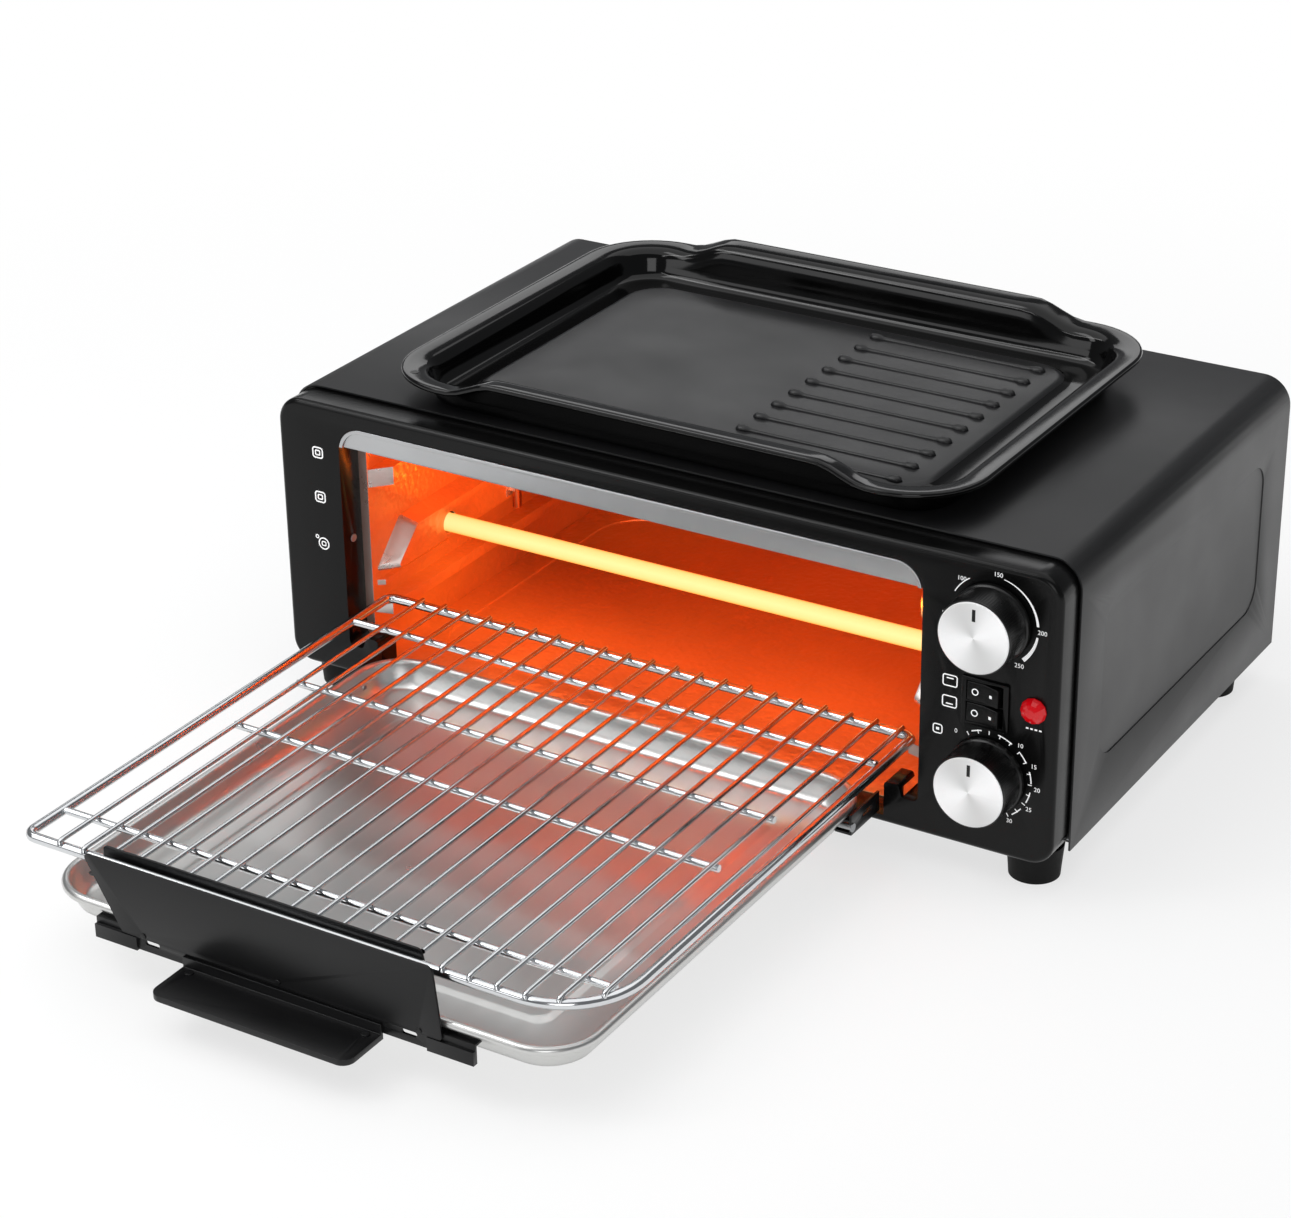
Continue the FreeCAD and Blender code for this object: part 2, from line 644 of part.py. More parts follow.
def opening_trim():
    low = CAVITY_ROOF - TRIM_OVERLAP
    top = OPEN_TOP - TRIM_GAP
    window = box(OPEN_LEFT, OPEN_RIGHT, -TRIM_BEAD_PROUD, TRIM_FRONT + TRIM_SHEET, low, top)
    inside = prism(opening_corners(-TRIM_GAP), "xz", -1, JAMB_DEPTH)
    middle = prism(opening_corners(-TRIM_GAP - TRIM_BEAD), "xz", -1, TRIM_FRONT)
    strip = window.common(inside).cut(middle)
    tabs = [box(x - TRIM_TAB / 2, x + TRIM_TAB / 2, TRIM_FRONT, JAMB_DEPTH - 3.0,
                top - TRIM_SHEET / 2, OPEN_TOP)
            for x in (OPEN_LEFT + TRIM_TAB_INSET, OPEN_MID, OPEN_RIGHT - TRIM_TAB_INSET)]
    return fuse([strip] + tabs)


def jamb_pin():
    return screw(OPEN_LEFT, JAMB_PIN_Y, JAMB_PIN_Z, "x", 1, JAMB_PIN_RADIUS,
                 JAMB_PIN_RADIUS + 1.0, 0.8, JAMB_WALL)


def outer_shell():
    outside = rectangle(-SHELL_HALF, SHELL_HALF, SHELL_FOOT, SHELL_TOP, 0, SHELL_BEND)
    inside = rectangle(-SHELL_INNER, SHELL_INNER, SHELL_FOOT - 1, SHELL_TOP - SHELL_SHEET, 0,
                       SHELL_BEND - SHELL_SHEET)
    shell = prism(outside, "xz", SHELL_FRONT, BODY_DEPTH).cut(
        prism(inside, "xz", SHELL_FRONT - 1, REAR_FLANGE_FRONT))
    window = rectangle(-SHELL_INNER + SHELL_FLANGE, SHELL_INNER - SHELL_FLANGE, SHELL_FOOT - 1,
                       SHELL_TOP - SHELL_SHEET - SHELL_FLANGE, 0, 4.0)
    shell = shell.cut(prism(window, "xz", REAR_FLANGE_FRONT - 1, BODY_DEPTH + 1))
    parts = [shell]
    panel = side_panel_outline(0)
    for sign in (-1, 1):
        flange = sorted((sign * SHELL_INNER, sign * (SHELL_INNER - SHELL_FLANGE)))
        parts.append(box(flange[0], flange[1], BASE_FRONT, BODY_DEPTH, SHELL_FOOT, SHELL_FOOT + SHELL_SHEET))
        pad = sorted((sign * (SHELL_INNER - SIDE_RECESS), sign * SHELL_INNER))
        parts.append(prism(side_panel_outline(SHELL_SHEET), "yz", pad[0], pad[1]))
    shell = fuse(parts)
    cuts = []
    for sign in (-1, 1):
        recess = sorted((sign * (SHELL_HALF - SIDE_RECESS), sign * (SHELL_HALF + 1)))
        cuts.append(prism(panel, "yz", recess[0], recess[1]))
    cuts += [cylinder("y", x, z, SCREW_RADIUS + SCREW_CLEARANCE, REAR_FLANGE_FRONT - 1, BODY_DEPTH + 1)
             for x, z in back_screw_places()]
    return shell.cut(fuse(cuts))


def side_panel_outline(grow):
    return rectangle(SIDE_PANEL_FRONT - grow, SIDE_PANEL_BACK + grow, SIDE_PANEL_LOW - grow,
                     SIDE_PANEL_TOP + grow, SIDE_PANEL_CORNER + grow)


def back_panel():
    half = SHELL_INNER - SEAT_GAP
    top = SHELL_TOP - SHELL_SHEET - SEAT_GAP
    radius = SHELL_BEND - SHELL_SHEET - SEAT_GAP
    outside = rectangle(-half, half, BASE_TOP, top, 0, radius)
    inside = rectangle(-half + BACK_SHEET, half - BACK_SHEET, BASE_TOP - 1, top - BACK_SHEET, 0,
                       radius - BACK_SHEET)
    rim = prism(outside, "xz", BACK_PANEL_FRONT - BACK_RIM, BACK_PANEL_FRONT + BACK_SHEET / 2)
    rim = rim.cut(prism(inside, "xz", BACK_PANEL_FRONT - BACK_RIM - 1, BACK_PANEL_FRONT + BACK_SHEET / 2))
    panel = fuse([prism(outside, "xz", BACK_PANEL_FRONT, REAR_FLANGE_FRONT), rim])
    cuts = [cylinder("y", x, z, SCREW_RADIUS + SCREW_CLEARANCE, BACK_PANEL_FRONT - 1, REAR_FLANGE_FRONT + 1)
            for x, z in back_screw_places()]
    for z in VENT_LEVELS:
        for column in range(VENT_COLUMNS):
            x = (column - (VENT_COLUMNS - 1) / 2) * VENT_PITCH
            slot = rectangle(x - SLOT_HALF, x + SLOT_HALF, z - VENT_HALF, z + VENT_HALF, SLOT_RADIUS)
            cuts.append(prism(slot, "xz", BACK_PANEL_FRONT - 1, REAR_FLANGE_FRONT + 1))
    cuts.append(cylinder("y", CONTROL_X, GLAND_Z, GLAND_RADIUS + SCREW_CLEARANCE,
                         BACK_PANEL_FRONT - 1, REAR_FLANGE_FRONT + 1))
    return panel.cut(fuse(cuts))


def cord_gland():
    inner = BACK_PANEL_FRONT - GLAND_REACH
    outer = BODY_DEPTH + SCREW_HEAD_HEIGHT - 0.2
    parts = [cylinder("y", CONTROL_X, GLAND_Z, GLAND_RADIUS, inner, REAR_FLANGE_FRONT),
             cylinder("y", CONTROL_X, GLAND_Z, GLAND_COLLAR, REAR_FLANGE_FRONT, outer),
             cylinder("y", CONTROL_X, GLAND_Z, GLAND_LIP, inner, BACK_PANEL_FRONT)]
    hole = cylinder("y", CONTROL_X, GLAND_Z, GLAND_BORE, inner - 1, outer + 1)
    return fuse(parts).cut(hole)


def bottom_plate():
    half = SHELL_INNER - SEAT_GAP
    left = CAVITY_LEFT + DISH_INSET
    right = CAVITY_RIGHT - DISH_INSET
    plate = box(-half, half, BASE_FRONT, BACK_PANEL_FRONT - 0.2, BASE_UNDER, BASE_TOP)
    dish = prism(rectangle(left, right, DISH_FRONT, DISH_BACK, DISH_CORNER), "xy",
                 DISH_TOP - BASE_SHEET, BASE_TOP)
    hollow = prism(rectangle(left + BASE_SHEET, right - BASE_SHEET, DISH_FRONT + BASE_SHEET,
                             DISH_BACK - BASE_SHEET, DISH_CORNER - BASE_SHEET), "xy", DISH_TOP, BASE_TOP + 1)
    plate = fuse([plate, dish]).cut(hollow)
    cuts = []
    for index in range(DISH_SLOTS):
        x = OPEN_MID + (index - (DISH_SLOTS - 1) / 2) * DISH_SLOT_PITCH
        slot = rectangle(x - SLOT_HALF, x + SLOT_HALF, DISH_SLOT_SPAN[0], DISH_SLOT_SPAN[1], SLOT_RADIUS)
        cuts.append(prism(slot, "xy", DISH_TOP - 2, DISH_TOP + 1))
    for x, y, seat in foot_places()[2:]:
        cuts.append(cylinder("z", x, y, SCREW_RADIUS + SCREW_CLEARANCE, BASE_UNDER - 1, BASE_TOP + 1))
    return plate.cut(fuse(cuts))


def feet():
    shapes = []
    for x, y, seat in foot_places():
        height = min(seat, BEZEL_LOW)
        foot = Part.makeCone(FOOT_RADIUS - 1.5, FOOT_RADIUS, height, V(x, y, 0))
        if seat > height:
            foot = fuse([foot, cylinder("z", x, y, FOOT_BOSS_RADIUS, height - 1, seat)])
        foot = foot.cut(cylinder("z", x, y, FOOT_RECESS_RADIUS, -1, FOOT_RECESS_DEPTH))
        shapes.append(foot.cut(cylinder("z", x, y, SCREW_RADIUS + SCREW_CLEARANCE, 0, seat + 1)))
    return shapes


def feet_screws():
    shapes = []
    for x, y, seat in foot_places():
        depth = seat + (BEZEL_RIM if seat == BEZEL_LOW else BASE_SHEET + 1.5) - FOOT_RECESS_DEPTH
        shapes.append(screw(x, y, FOOT_RECESS_DEPTH, "z", -1, SCREW_RADIUS, SCREW_HEAD,
                            SCREW_HEAD_HEIGHT, depth))
    return shapes


def back_screws():
    depth = BODY_DEPTH - BACK_PANEL_FRONT + 3.0
    return [screw(x, BODY_DEPTH, z, "y", 1, SCREW_RADIUS, SCREW_HEAD, SCREW_HEAD_HEIGHT, depth)
            for x, z in back_screw_places()]


def bezel_screws():
    seat = JAMB_DEPTH + CAVITY_SHEET
    depth = seat - BEZEL_FACE - 1.0
    return [screw(x, seat, z, "y", 1, SCREW_RADIUS, SCREW_HEAD, SCREW_HEAD_HEIGHT, depth)
            for x, z in bezel_boss_places()]


def channel_rail(low, height, front, end, depth, nose):
    """A rail pressed out of the left wall, with sloping ends: its outer block and the hollow behind it."""
    x = CAVITY_LEFT
    t = CAVITY_SHEET
    block = prism([(x - t, front, 0), (x, front, 0), (x + depth, front + nose, 0),
                   (x + depth, end - nose, 0), (x, end, 0), (x - t, end, 0)], "xy", low, low + height)
    hollow = prism([(x - t - 1, front + 1.2, 0), (x - t, front + 1.2, 0),
                    (x + depth - t, front + nose + 0.6, 0), (x + depth - t, end - nose - 0.6, 0),
                    (x - t, end - 1.2, 0), (x - t - 1, end - 1.2, 0)], "xy", low + t, low + height - t)
    return block, hollow


def cover_outline(inset):
    return [(COVER_FRONT + inset * 1.6, COVER_LOW + inset, 2.0),
            (COVER_BACK - inset * 1.6, COVER_LOW + inset, 2.0),
            (COVER_BACK - COVER_SHOULDER - inset * 0.4, COVER_TOP - inset, 5.0),
            (COVER_FRONT + COVER_SHOULDER + inset * 0.4, COVER_TOP - inset, 5.0)]


def cavity_left_wall():
    x = CAVITY_LEFT
    t = CAVITY_SHEET
    parts = [box(x - t, x, JAMB_DEPTH, CAVITY_BACK, BASE_TOP, CAVITY_ROOF),
             box(x - WALL_FLANGE, x, JAMB_DEPTH, JAMB_DEPTH + t, CAVITY_FLOOR + 4.0, CAVITY_ROOF),
             box(x - t, x + SEAM_FLANGE - 2, BASE_FRONT, CAVITY_BACK, BASE_TOP, BASE_TOP + t),
             box(x - SEAM_FLANGE, x, JAMB_DEPTH + t, CAVITY_BACK, CAVITY_ROOF - t, CAVITY_ROOF),
             box(x - SEAM_FLANGE, x, CAVITY_BACK - t, CAVITY_BACK, BASE_TOP, CAVITY_ROOF)]
    rails = [channel_rail(UPPER_RAIL_LOW, UPPER_RAIL_HEIGHT, JAMB_DEPTH + 0.5, UPPER_RAIL_END,
                          UPPER_RAIL_DEPTH, UPPER_RAIL_NOSE),
             channel_rail(RACK_RAIL_TOP - RACK_RAIL_HEIGHT, RACK_RAIL_HEIGHT, JAMB_DEPTH + 0.5,
                          CAVITY_BACK - 6.0, RAIL_DEPTH, RAIL_NOSE),
             channel_rail(GUIDE_RAIL_LOW, GUIDE_RAIL_HEIGHT, JAMB_DEPTH + 4.0, GUIDE_RAIL_END,
                          GUIDE_RAIL_DEPTH, RAIL_NOSE)]
    parts += [block for block, _ in rails]
    cuts = [hollow for _, hollow in rails]
    parts.append(loft(cover_outline(0), x - t, cover_outline(COVER_DRAFT), x + COVER_DEPTH, "yz"))
    cuts.append(loft(cover_outline(t), x - t - 0.01, cover_outline(COVER_DRAFT + t),
                     x + COVER_DEPTH - t, "yz"))
    parts.append(cylinder("x", SIDE_MARK_Y, SIDE_MARK_Z, SIDE_MARK_RADIUS, x - t, x + 0.6))
    cuts.append(cylinder("x", SIDE_MARK_Y, SIDE_MARK_Z, SIDE_MARK_RADIUS - 0.9, x + 0.1, x + 2))
    wall = fuse(parts)
    cuts += [cylinder("x", y, TUBE_Z, TUBE_HOLE_RADIUS, x - 2, x + COVER_DEPTH + 1)
             for y in (FRONT_TUBE_Y, REAR_TUBE_Y)]
    cuts += [cylinder("y", px, z, SCREW_RADIUS + SCREW_CLEARANCE, JAMB_DEPTH - 1, JAMB_DEPTH + 2)
             for px, z in bezel_boss_places() if px < OPEN_MID]
    rim_top = BEZEL_LOW + BEZEL_RIM + 0.1
    cuts.append(box(x - WALL_FLANGE, x + RAIL_DEPTH, JAMB_DEPTH - 1, BASE_FRONT, BASE_TOP - 1, rim_top))
    return wall.cut(fuse(cuts))


def cavity_right_wall():
    return mirror_x(cavity_left_wall(), OPEN_MID)


def cavity_floor():
    x0 = CAVITY_LEFT + 0.1
    x1 = CAVITY_RIGHT - 0.1
    y0 = JAMB_DEPTH + FLOOR_PRESSING_ENDS[0]
    y1 = CAVITY_BACK - FLOOR_PRESSING_ENDS[1]
    left = x0 + FLOOR_PRESSING_INSET
    right = x1 - FLOOR_PRESSING_INSET
    pressing = rectangle(left, right, y0, y1, FLOOR_PRESSING_RADIUS)
    wider = rectangle(left - 1, right + 1, y0 - 1, y1 + 1, FLOOR_PRESSING_RADIUS + 1)
    floor = fuse([box(x0, x1, JAMB_DEPTH, CAVITY_BACK - 0.1, FLOOR_UNDER, CAVITY_FLOOR),
                  prism(wider, "xy", FLOOR_UNDER - FLOOR_PRESSING, CAVITY_FLOOR - 0.1)])
    return floor.cut(prism(pressing, "xy", CAVITY_FLOOR - FLOOR_PRESSING, CAVITY_FLOOR + 1))


def cavity_roof():
    t = CAVITY_SHEET
    x0 = CAVITY_LEFT - SEAM_FLANGE
    x1 = CAVITY_RIGHT + SEAM_FLANGE
    parts = [box(x0, x1, JAMB_DEPTH, CAVITY_BACK + t, CAVITY_ROOF, CAVITY_ROOF + t),
             box(x0, x1, JAMB_DEPTH, JAMB_DEPTH + t, CAVITY_ROOF, OPEN_TOP + JAMB_WALL)]
    return fuse(parts)


def cavity_back_wall():
    t = CAVITY_SHEET
    x0 = CAVITY_LEFT - SEAM_FLANGE
    x1 = CAVITY_RIGHT + SEAM_FLANGE
    wall = box(x0, x1, CAVITY_BACK, CAVITY_BACK + t, BASE_TOP, CAVITY_ROOF)
    pad = rectangle(x0 + BACK_PAD_INSET, x1 - BACK_PAD_INSET, CAVITY_FLOOR + BACK_PAD_MARGIN,
                    CAVITY_ROOF - BACK_PAD_MARGIN, BACK_PAD_RADIUS)
    level = CAVITY_BACK + BACK_PAD_DEPTH
    wall = wall.cut(prism(pad, "xz", CAVITY_BACK - 1, level))
    return fuse([wall, prism(pad, "xz", level, level + t)])


def heat_shield():
    t = CAVITY_SHEET
    front = BASE_FRONT + 2
    back = CAVITY_BACK + 3
    parts = [box(SHIELD_X, SHIELD_X + t, front, back, BASE_TOP, SHELL_TOP - SHIELD_GAP),
             box(SHIELD_X, SHIELD_X + SEAM_FLANGE, front, back, BASE_TOP, BASE_TOP + t)]
    return fuse(parts)


def tube_ends():
    left = CAVITY_LEFT - TUBE_REACH
    right = CAVITY_RIGHT + TUBE_REACH
    return left, right


def heating_tube(y):
    left, right = tube_ends()
    tube = cylinder("x", y, TUBE_Z, TUBE_RADIUS, left, right)
    return tube.cut(cylinder("x", y, TUBE_Z, TUBE_RADIUS - TUBE_WALL, left - 1, right + 1))


def heating_coils():
    left, right = tube_ends()
    shapes = []
    for y in (FRONT_TUBE_Y, REAR_TUBE_Y):
        coil = cylinder("x", y, TUBE_Z, COIL_RADIUS, left + 1.0, right - 1.0)
        pins = [cylinder("x", y, TUBE_Z, PIN_RADIUS, left - PIN_REACH, left + 1.5),
                cylinder("x", y, TUBE_Z, PIN_RADIUS, right - 1.5, right + PIN_REACH)]
        shapes.append(fuse([coil] + pins))
    return shapes


def tube_ceramic_caps():
    left, right = tube_ends()
    shapes = []
    for y in (FRONT_TUBE_Y, REAR_TUBE_Y):
        cap = cylinder("x", y, TUBE_Z, CAP_RADIUS, left - 2.0, left - 2.0 + CAP_LENGTH)
        cap = cap.cut(cylinder("x", y, TUBE_Z, TUBE_RADIUS + SHAFT_CLEARANCE, left, left + CAP_LENGTH))
        cap = cap.cut(cylinder("x", y, TUBE_Z, PIN_RADIUS + SHAFT_CLEARANCE, left - 3.0, left + 1))
        shapes.append(cap)
    return both_sides(shapes, OPEN_MID)


def tube_brackets():
    wall = CAVITY_LEFT - CAVITY_SHEET
    plate_x = wall - BRACKET_OFFSET
    shapes = []
    for y in (FRONT_TUBE_Y, REAR_TUBE_Y):
        y0 = y - BRACKET_WIDTH / 2
        y1 = y + BRACKET_WIDTH / 2
        bend = COVER_TOP + BRACKET_RISE
        plate = box(plate_x - BRACKET_SHEET, plate_x, y0, y1, TUBE_Z - BRACKET_LOW, bend)
        foot = box(plate_x - BRACKET_SHEET, wall, y0, y1, bend - BRACKET_SHEET, bend)
        tab = box(wall - BRACKET_SHEET, wall, y0, y1, bend - BRACKET_SHEET, bend + BRACKET_TAB)
        hole = cylinder("x", y, TUBE_Z, CAP_RADIUS + SHAFT_CLEARANCE, plate_x - 3, plate_x + 2)
        shapes.append(fuse([plate, foot, tab]).cut(hole))
    return both_sides(shapes, OPEN_MID)


def lower_heater():
    right = CAVITY_RIGHT - DISH_INSET - LOW_HEATER_END
    left = CAVITY_LEFT + DISH_INSET + LOW_HEATER_INSET
    points = [V(right, LOW_HEATER_FRONT, LOW_HEATER_Z), V(left, LOW_HEATER_FRONT, LOW_HEATER_Z),
              V(left, LOW_HEATER_BACK, LOW_HEATER_Z), V(right, LOW_HEATER_BACK, LOW_HEATER_Z)]
    return wire_bar(points, [LOW_HEATER_BEND, LOW_HEATER_BEND], LOW_HEATER_RADIUS)


def lower_heater_clips():
    shapes = []
    for y in (LOW_HEATER_FRONT, LOW_HEATER_BACK):
        for x in (OPEN_MID + offset for offset in LOW_CLIP_OFFSETS):
            block = box(x - 3.0, x + 3.0, y - 6.0, y + 6.0, DISH_TOP, LOW_HEATER_Z + 1.5)
            shapes.append(block.cut(cylinder("x", y, LOW_HEATER_Z, LOW_HEATER_RADIUS + SHAFT_CLEARANCE,
                                             x - 4, x + 4)))
    return shapes


def sensor_place():
    return CAVITY_LEFT + COVER_DEPTH, SENSOR_Y


def sensor_clip():
    x, y = sensor_place()
    t = SENSOR_SHEET
    plate = box(x, x + t, y - SENSOR_HALF_WIDTH, y + SENSOR_HALF_WIDTH, COVER_LOW + 5.0, COVER_TOP - 5.0)
    arms = [box(x, x + SENSOR_ARM_REACH, y + side - t / 2, y + side + t / 2, COVER_LOW + 8.0,
                COVER_TOP - 8.0) for side in (-SENSOR_ARM_OFFSET, SENSOR_ARM_OFFSET)]
    return fuse([plate] + arms)


def sensor_bulb():
    x, y = sensor_place()
    return cylinder("z", x + SENSOR_SHEET + SENSOR_RADIUS, y, SENSOR_RADIUS,
                    COVER_LOW - 2.0, COVER_TOP - 3.0)


def rotary_body(z, width, depth, height):
    body = box(CONTROL_X - width / 2, CONTROL_X + width / 2, BEZEL_FACE, BEZEL_FACE + depth,
               z - height / 2, z + height / 2)
    body = body.makeFillet(1.5, [edge for edge in body.Edges if edge.BoundBox.YLength > depth - 0.1])
    cuts = [cylinder("y", CONTROL_X, z, SHAFT_RADIUS + SHAFT_CLEARANCE, BEZEL_FACE - 1,
                     BEZEL_FACE + depth - 4.0)]
    cuts += [cylinder("y", x, sz, SMALL_SCREW + SCREW_CLEARANCE, BEZEL_FACE - 1, BEZEL_FACE + 8.0)
             for x, sz in control_screw_places() if sz == z]
    low = z - height / 2 + BLADE_RISE
    blades = [box(CONTROL_X + side - BLADE_WIDTH / 2, CONTROL_X + side + BLADE_WIDTH / 2,
                  BEZEL_FACE + depth - 1.0, BEZEL_FACE + depth + BLADE_LENGTH, low, low + BLADE_SHEET)
              for side in (-BLADE_OFFSET, BLADE_OFFSET)]
    return fuse([body.cut(fuse(cuts))] + blades)


def thermostat_body():
    return rotary_body(TEMPERATURE_Z, THERMOSTAT_WIDTH, THERMOSTAT_DEPTH, THERMOSTAT_HEIGHT)


def timer_body():
    return rotary_body(TIMER_Z, TIMER_WIDTH, TIMER_DEPTH, TIMER_HEIGHT)


def timer_bell():
    back = BEZEL_FACE + TIMER_DEPTH
    small = BELL_RADIUS - BELL_TAPER
    centre = V(CONTROL_X, back + BELL_STANDOFF, TIMER_Z + BELL_LIFT)
    bell = Part.makeCone(BELL_RADIUS, small, BELL_HEIGHT, centre, V(0, 1, 0))
    hollow = Part.makeCone(BELL_RADIUS - BELL_SHEET, small - BELL_SHEET, BELL_HEIGHT - BELL_SHEET,
                           centre - V(0, 0.01, 0), V(0, 1, 0))
    post = cylinder("y", CONTROL_X, TIMER_Z + BELL_LIFT, 2.0, back, back + BELL_STANDOFF + BELL_HEIGHT)
    return fuse([bell.cut(hollow), post])


def control_shaft(z, depth):
    front = -(KNOB_GAP + KNOB_LENGTH) + 4.0
    shaft = cylinder("y", CONTROL_X, z, SHAFT_RADIUS, front, BEZEL_FACE + depth - 4.2)
    flat = box(CONTROL_X - 5, CONTROL_X + 5, front - 1, -KNOB_GAP - 1.0,
               z + SHAFT_RADIUS - SHAFT_FLAT, z + 5)
    return shaft.cut(flat)


def control_knob(z):
    back = -KNOB_GAP
    front = -(KNOB_GAP + KNOB_LENGTH)
    skirt = cylinder("y", CONTROL_X, z, KNOB_RADIUS + KNOB_SKIRT, back - KNOB_SKIRT_DEPTH, back)
    barrel = cylinder("y", CONTROL_X, z, KNOB_RADIUS, front, back)
    rim = [edge for edge in barrel.Edges if edge.BoundBox.YMax < front + 0.01]
    barrel = barrel.makeFillet(KNOB_EDGE_ROUND, rim)
    knob = fuse([skirt, barrel])
    hollow = cylinder("y", CONTROL_X, z, KNOB_RADIUS - KNOB_WALL, front + 3.0, back + 1)
    hub = cylinder("y", CONTROL_X, z, SHAFT_RADIUS + KNOB_HUB_WALL, front + 2.0, back - 0.5)
    knob = fuse([knob.cut(hollow), hub])
    bore = cylinder("y", CONTROL_X, z, SHAFT_RADIUS + PRESS_CLEARANCE, front + 3.9, back + 1)
    flat = box(CONTROL_X - 5, CONTROL_X + 5, front + 3, -KNOB_GAP - 1.0,
               z + SHAFT_RADIUS - SHAFT_FLAT + PRESS_CLEARANCE, z + 5)
    seat = cylinder("y", CONTROL_X, z, CAP_FACE_RADIUS, front - 1, front + CAP_FACE_SHEET - CAP_FACE_PROUD)
    return knob.cut(bore.cut(flat)).cut(seat)


def control_knob_cap(z):
    front = -(KNOB_GAP + KNOB_LENGTH)
    cap = cylinder("y", CONTROL_X, z, CAP_FACE_RADIUS, front - CAP_FACE_PROUD,
                   front + CAP_FACE_SHEET - CAP_FACE_PROUD)
    mark = box(CONTROL_X - MARK_HALF, CONTROL_X + MARK_HALF, front - 1, front - CAP_FACE_PROUD / 2,
               z + MARK_SPAN[0], z + MARK_SPAN[1])
    return cap.cut(mark)


def temperature_knob():
    return control_knob(TEMPERATURE_Z)


def timer_knob():
    return control_knob(TIMER_Z)


def control_screws():
    shapes = []
    for x, z in control_screw_places():
        shapes.append(screw(x, 1.0, z, "y", -1, SMALL_SCREW, SMALL_HEAD, 1.0, 8.0))
    return shapes


def switch_body_outline(grow):
    half_x = ROCKER_LENGTH / 2 + SWITCH_END + grow
    half_z = SWITCH_PITCH / 2 + ROCKER_HEIGHT / 2 + SWITCH_SIDE + grow
    return rectangle(SWITCH_X - half_x, SWITCH_X + half_x, SWITCH_Z - half_z, SWITCH_Z + half_z, 1.0)


def rocker_centres():
    return [SWITCH_Z + SWITCH_PITCH / 2, SWITCH_Z - SWITCH_PITCH / 2]


def switch_housing():
    body = prism(switch_body_outline(0), "xz", -0.2, SWITCH_DEPTH)
    frame = prism(switch_body_outline(SWITCH_FRAME), "xz", -SWITCH_FRAME, 0)
    housing = fuse([body, frame])
    cuts = []
    for z in rocker_centres():
        half_z = ROCKER_HEIGHT / 2 + SEAT_GAP
        half_x = ROCKER_LENGTH / 2 + ROCKER_END_GAP
        cuts.append(box(SWITCH_X - half_x, SWITCH_X + half_x, -SWITCH_FRAME - 1, ROCKER_PIVOT_Y + 2.8,
                        z - half_z, z + half_z))
        cuts.append(cylinder("z", SWITCH_X, ROCKER_PIVOT_Y, ROCKER_BARREL + SHAFT_CLEARANCE,
                             z - half_z, z + half_z))
    return housing.cut(fuse(cuts))


def rocker(z):
    half = ROCKER_LENGTH / 2
    pivot = ROCKER_PIVOT_Y
    dish = half * math.tan(math.radians(ROCKER_TILT))
    low = z - ROCKER_HEIGHT / 2
    high = z + ROCKER_HEIGHT / 2
    profile = [(SWITCH_X - half, pivot - ROCKER_PROUD, 0.4), (SWITCH_X, pivot - ROCKER_PROUD + dish, 0),
               (SWITCH_X + half, pivot - ROCKER_PROUD, 0.4), (SWITCH_X + half, pivot + 1.0, 0.4),
               (SWITCH_X - half, pivot + 1.0, 0.4)]
    body = fuse([prism(profile, "xy", low, high),
                 cylinder("z", SWITCH_X, pivot, ROCKER_BARREL, low, high).cut(
                     box(SWITCH_X - 9, SWITCH_X + 9, pivot - 9, pivot - 1.0, low - 1, high + 1))])
    body.rotate(V(SWITCH_X, pivot, 0), V(0, 0, 1), -ROCKER_TILT)
    return body


def switch_terminals():
    shapes = []
    for z in rocker_centres():
        for side in (-TERMINAL_OFFSET, TERMINAL_OFFSET):
            x = SWITCH_X + side
            shapes.append(box(x - 2.4, x + 2.4, SWITCH_DEPTH, SWITCH_DEPTH + TERMINAL_LENGTH,
                              z - 0.4, z + 0.4))
    return shapes


def lamp_lens():
    dome = Part.makeSphere(LAMP_RADIUS + 0.6, V(LAMP_X, 2.6, LAMP_Z)).common(
        cylinder("y", LAMP_X, LAMP_Z, LAMP_RADIUS, -6.0, 0))
    return fuse([dome, cylinder("y", LAMP_X, LAMP_Z, LAMP_SHANK, -0.2, LAMP_SHANK_LENGTH)])


def lamp_holder():
    holder = cylinder("y", LAMP_X, LAMP_Z, LAMP_SHANK + LAMP_HOLDER_WALL, BEZEL_FACE, LAMP_HOLDER_BACK)
    return holder.cut(cylinder("y", LAMP_X, LAMP_Z, LAMP_SHANK + SCREW_CLEARANCE, BEZEL_FACE - 1,
                               LAMP_SHANK_LENGTH + 0.5))


def terminal_block():
    x0 = CONTROL_X - 9.0
    x1 = x0 + BLOCK_WIDTH
    block = box(x0, x1, BLOCK_FRONT, BLOCK_FRONT + BLOCK_LENGTH, BASE_TOP, BASE_TOP + BLOCK_HEIGHT)
    places = [BLOCK_FRONT + BLOCK_LENGTH * (step + 0.5) / 3 for step in range(3)]
    holes = [cylinder("x", y, BASE_TOP + 8.0, BLOCK_BORE, x0 - 1, x1 + 1) for y in places]
    return block.cut(fuse(holes))


def tray_outline(half_less, radius_less):
    half = TRAY_WIDTH / 2 - half_less
    return rectangle(TRAY_MID - half, TRAY_MID + half, TRAY_FRONT + half_less,
                     TRAY_FRONT + TRAY_LENGTH - half_less, TRAY_CORNER - radius_less)


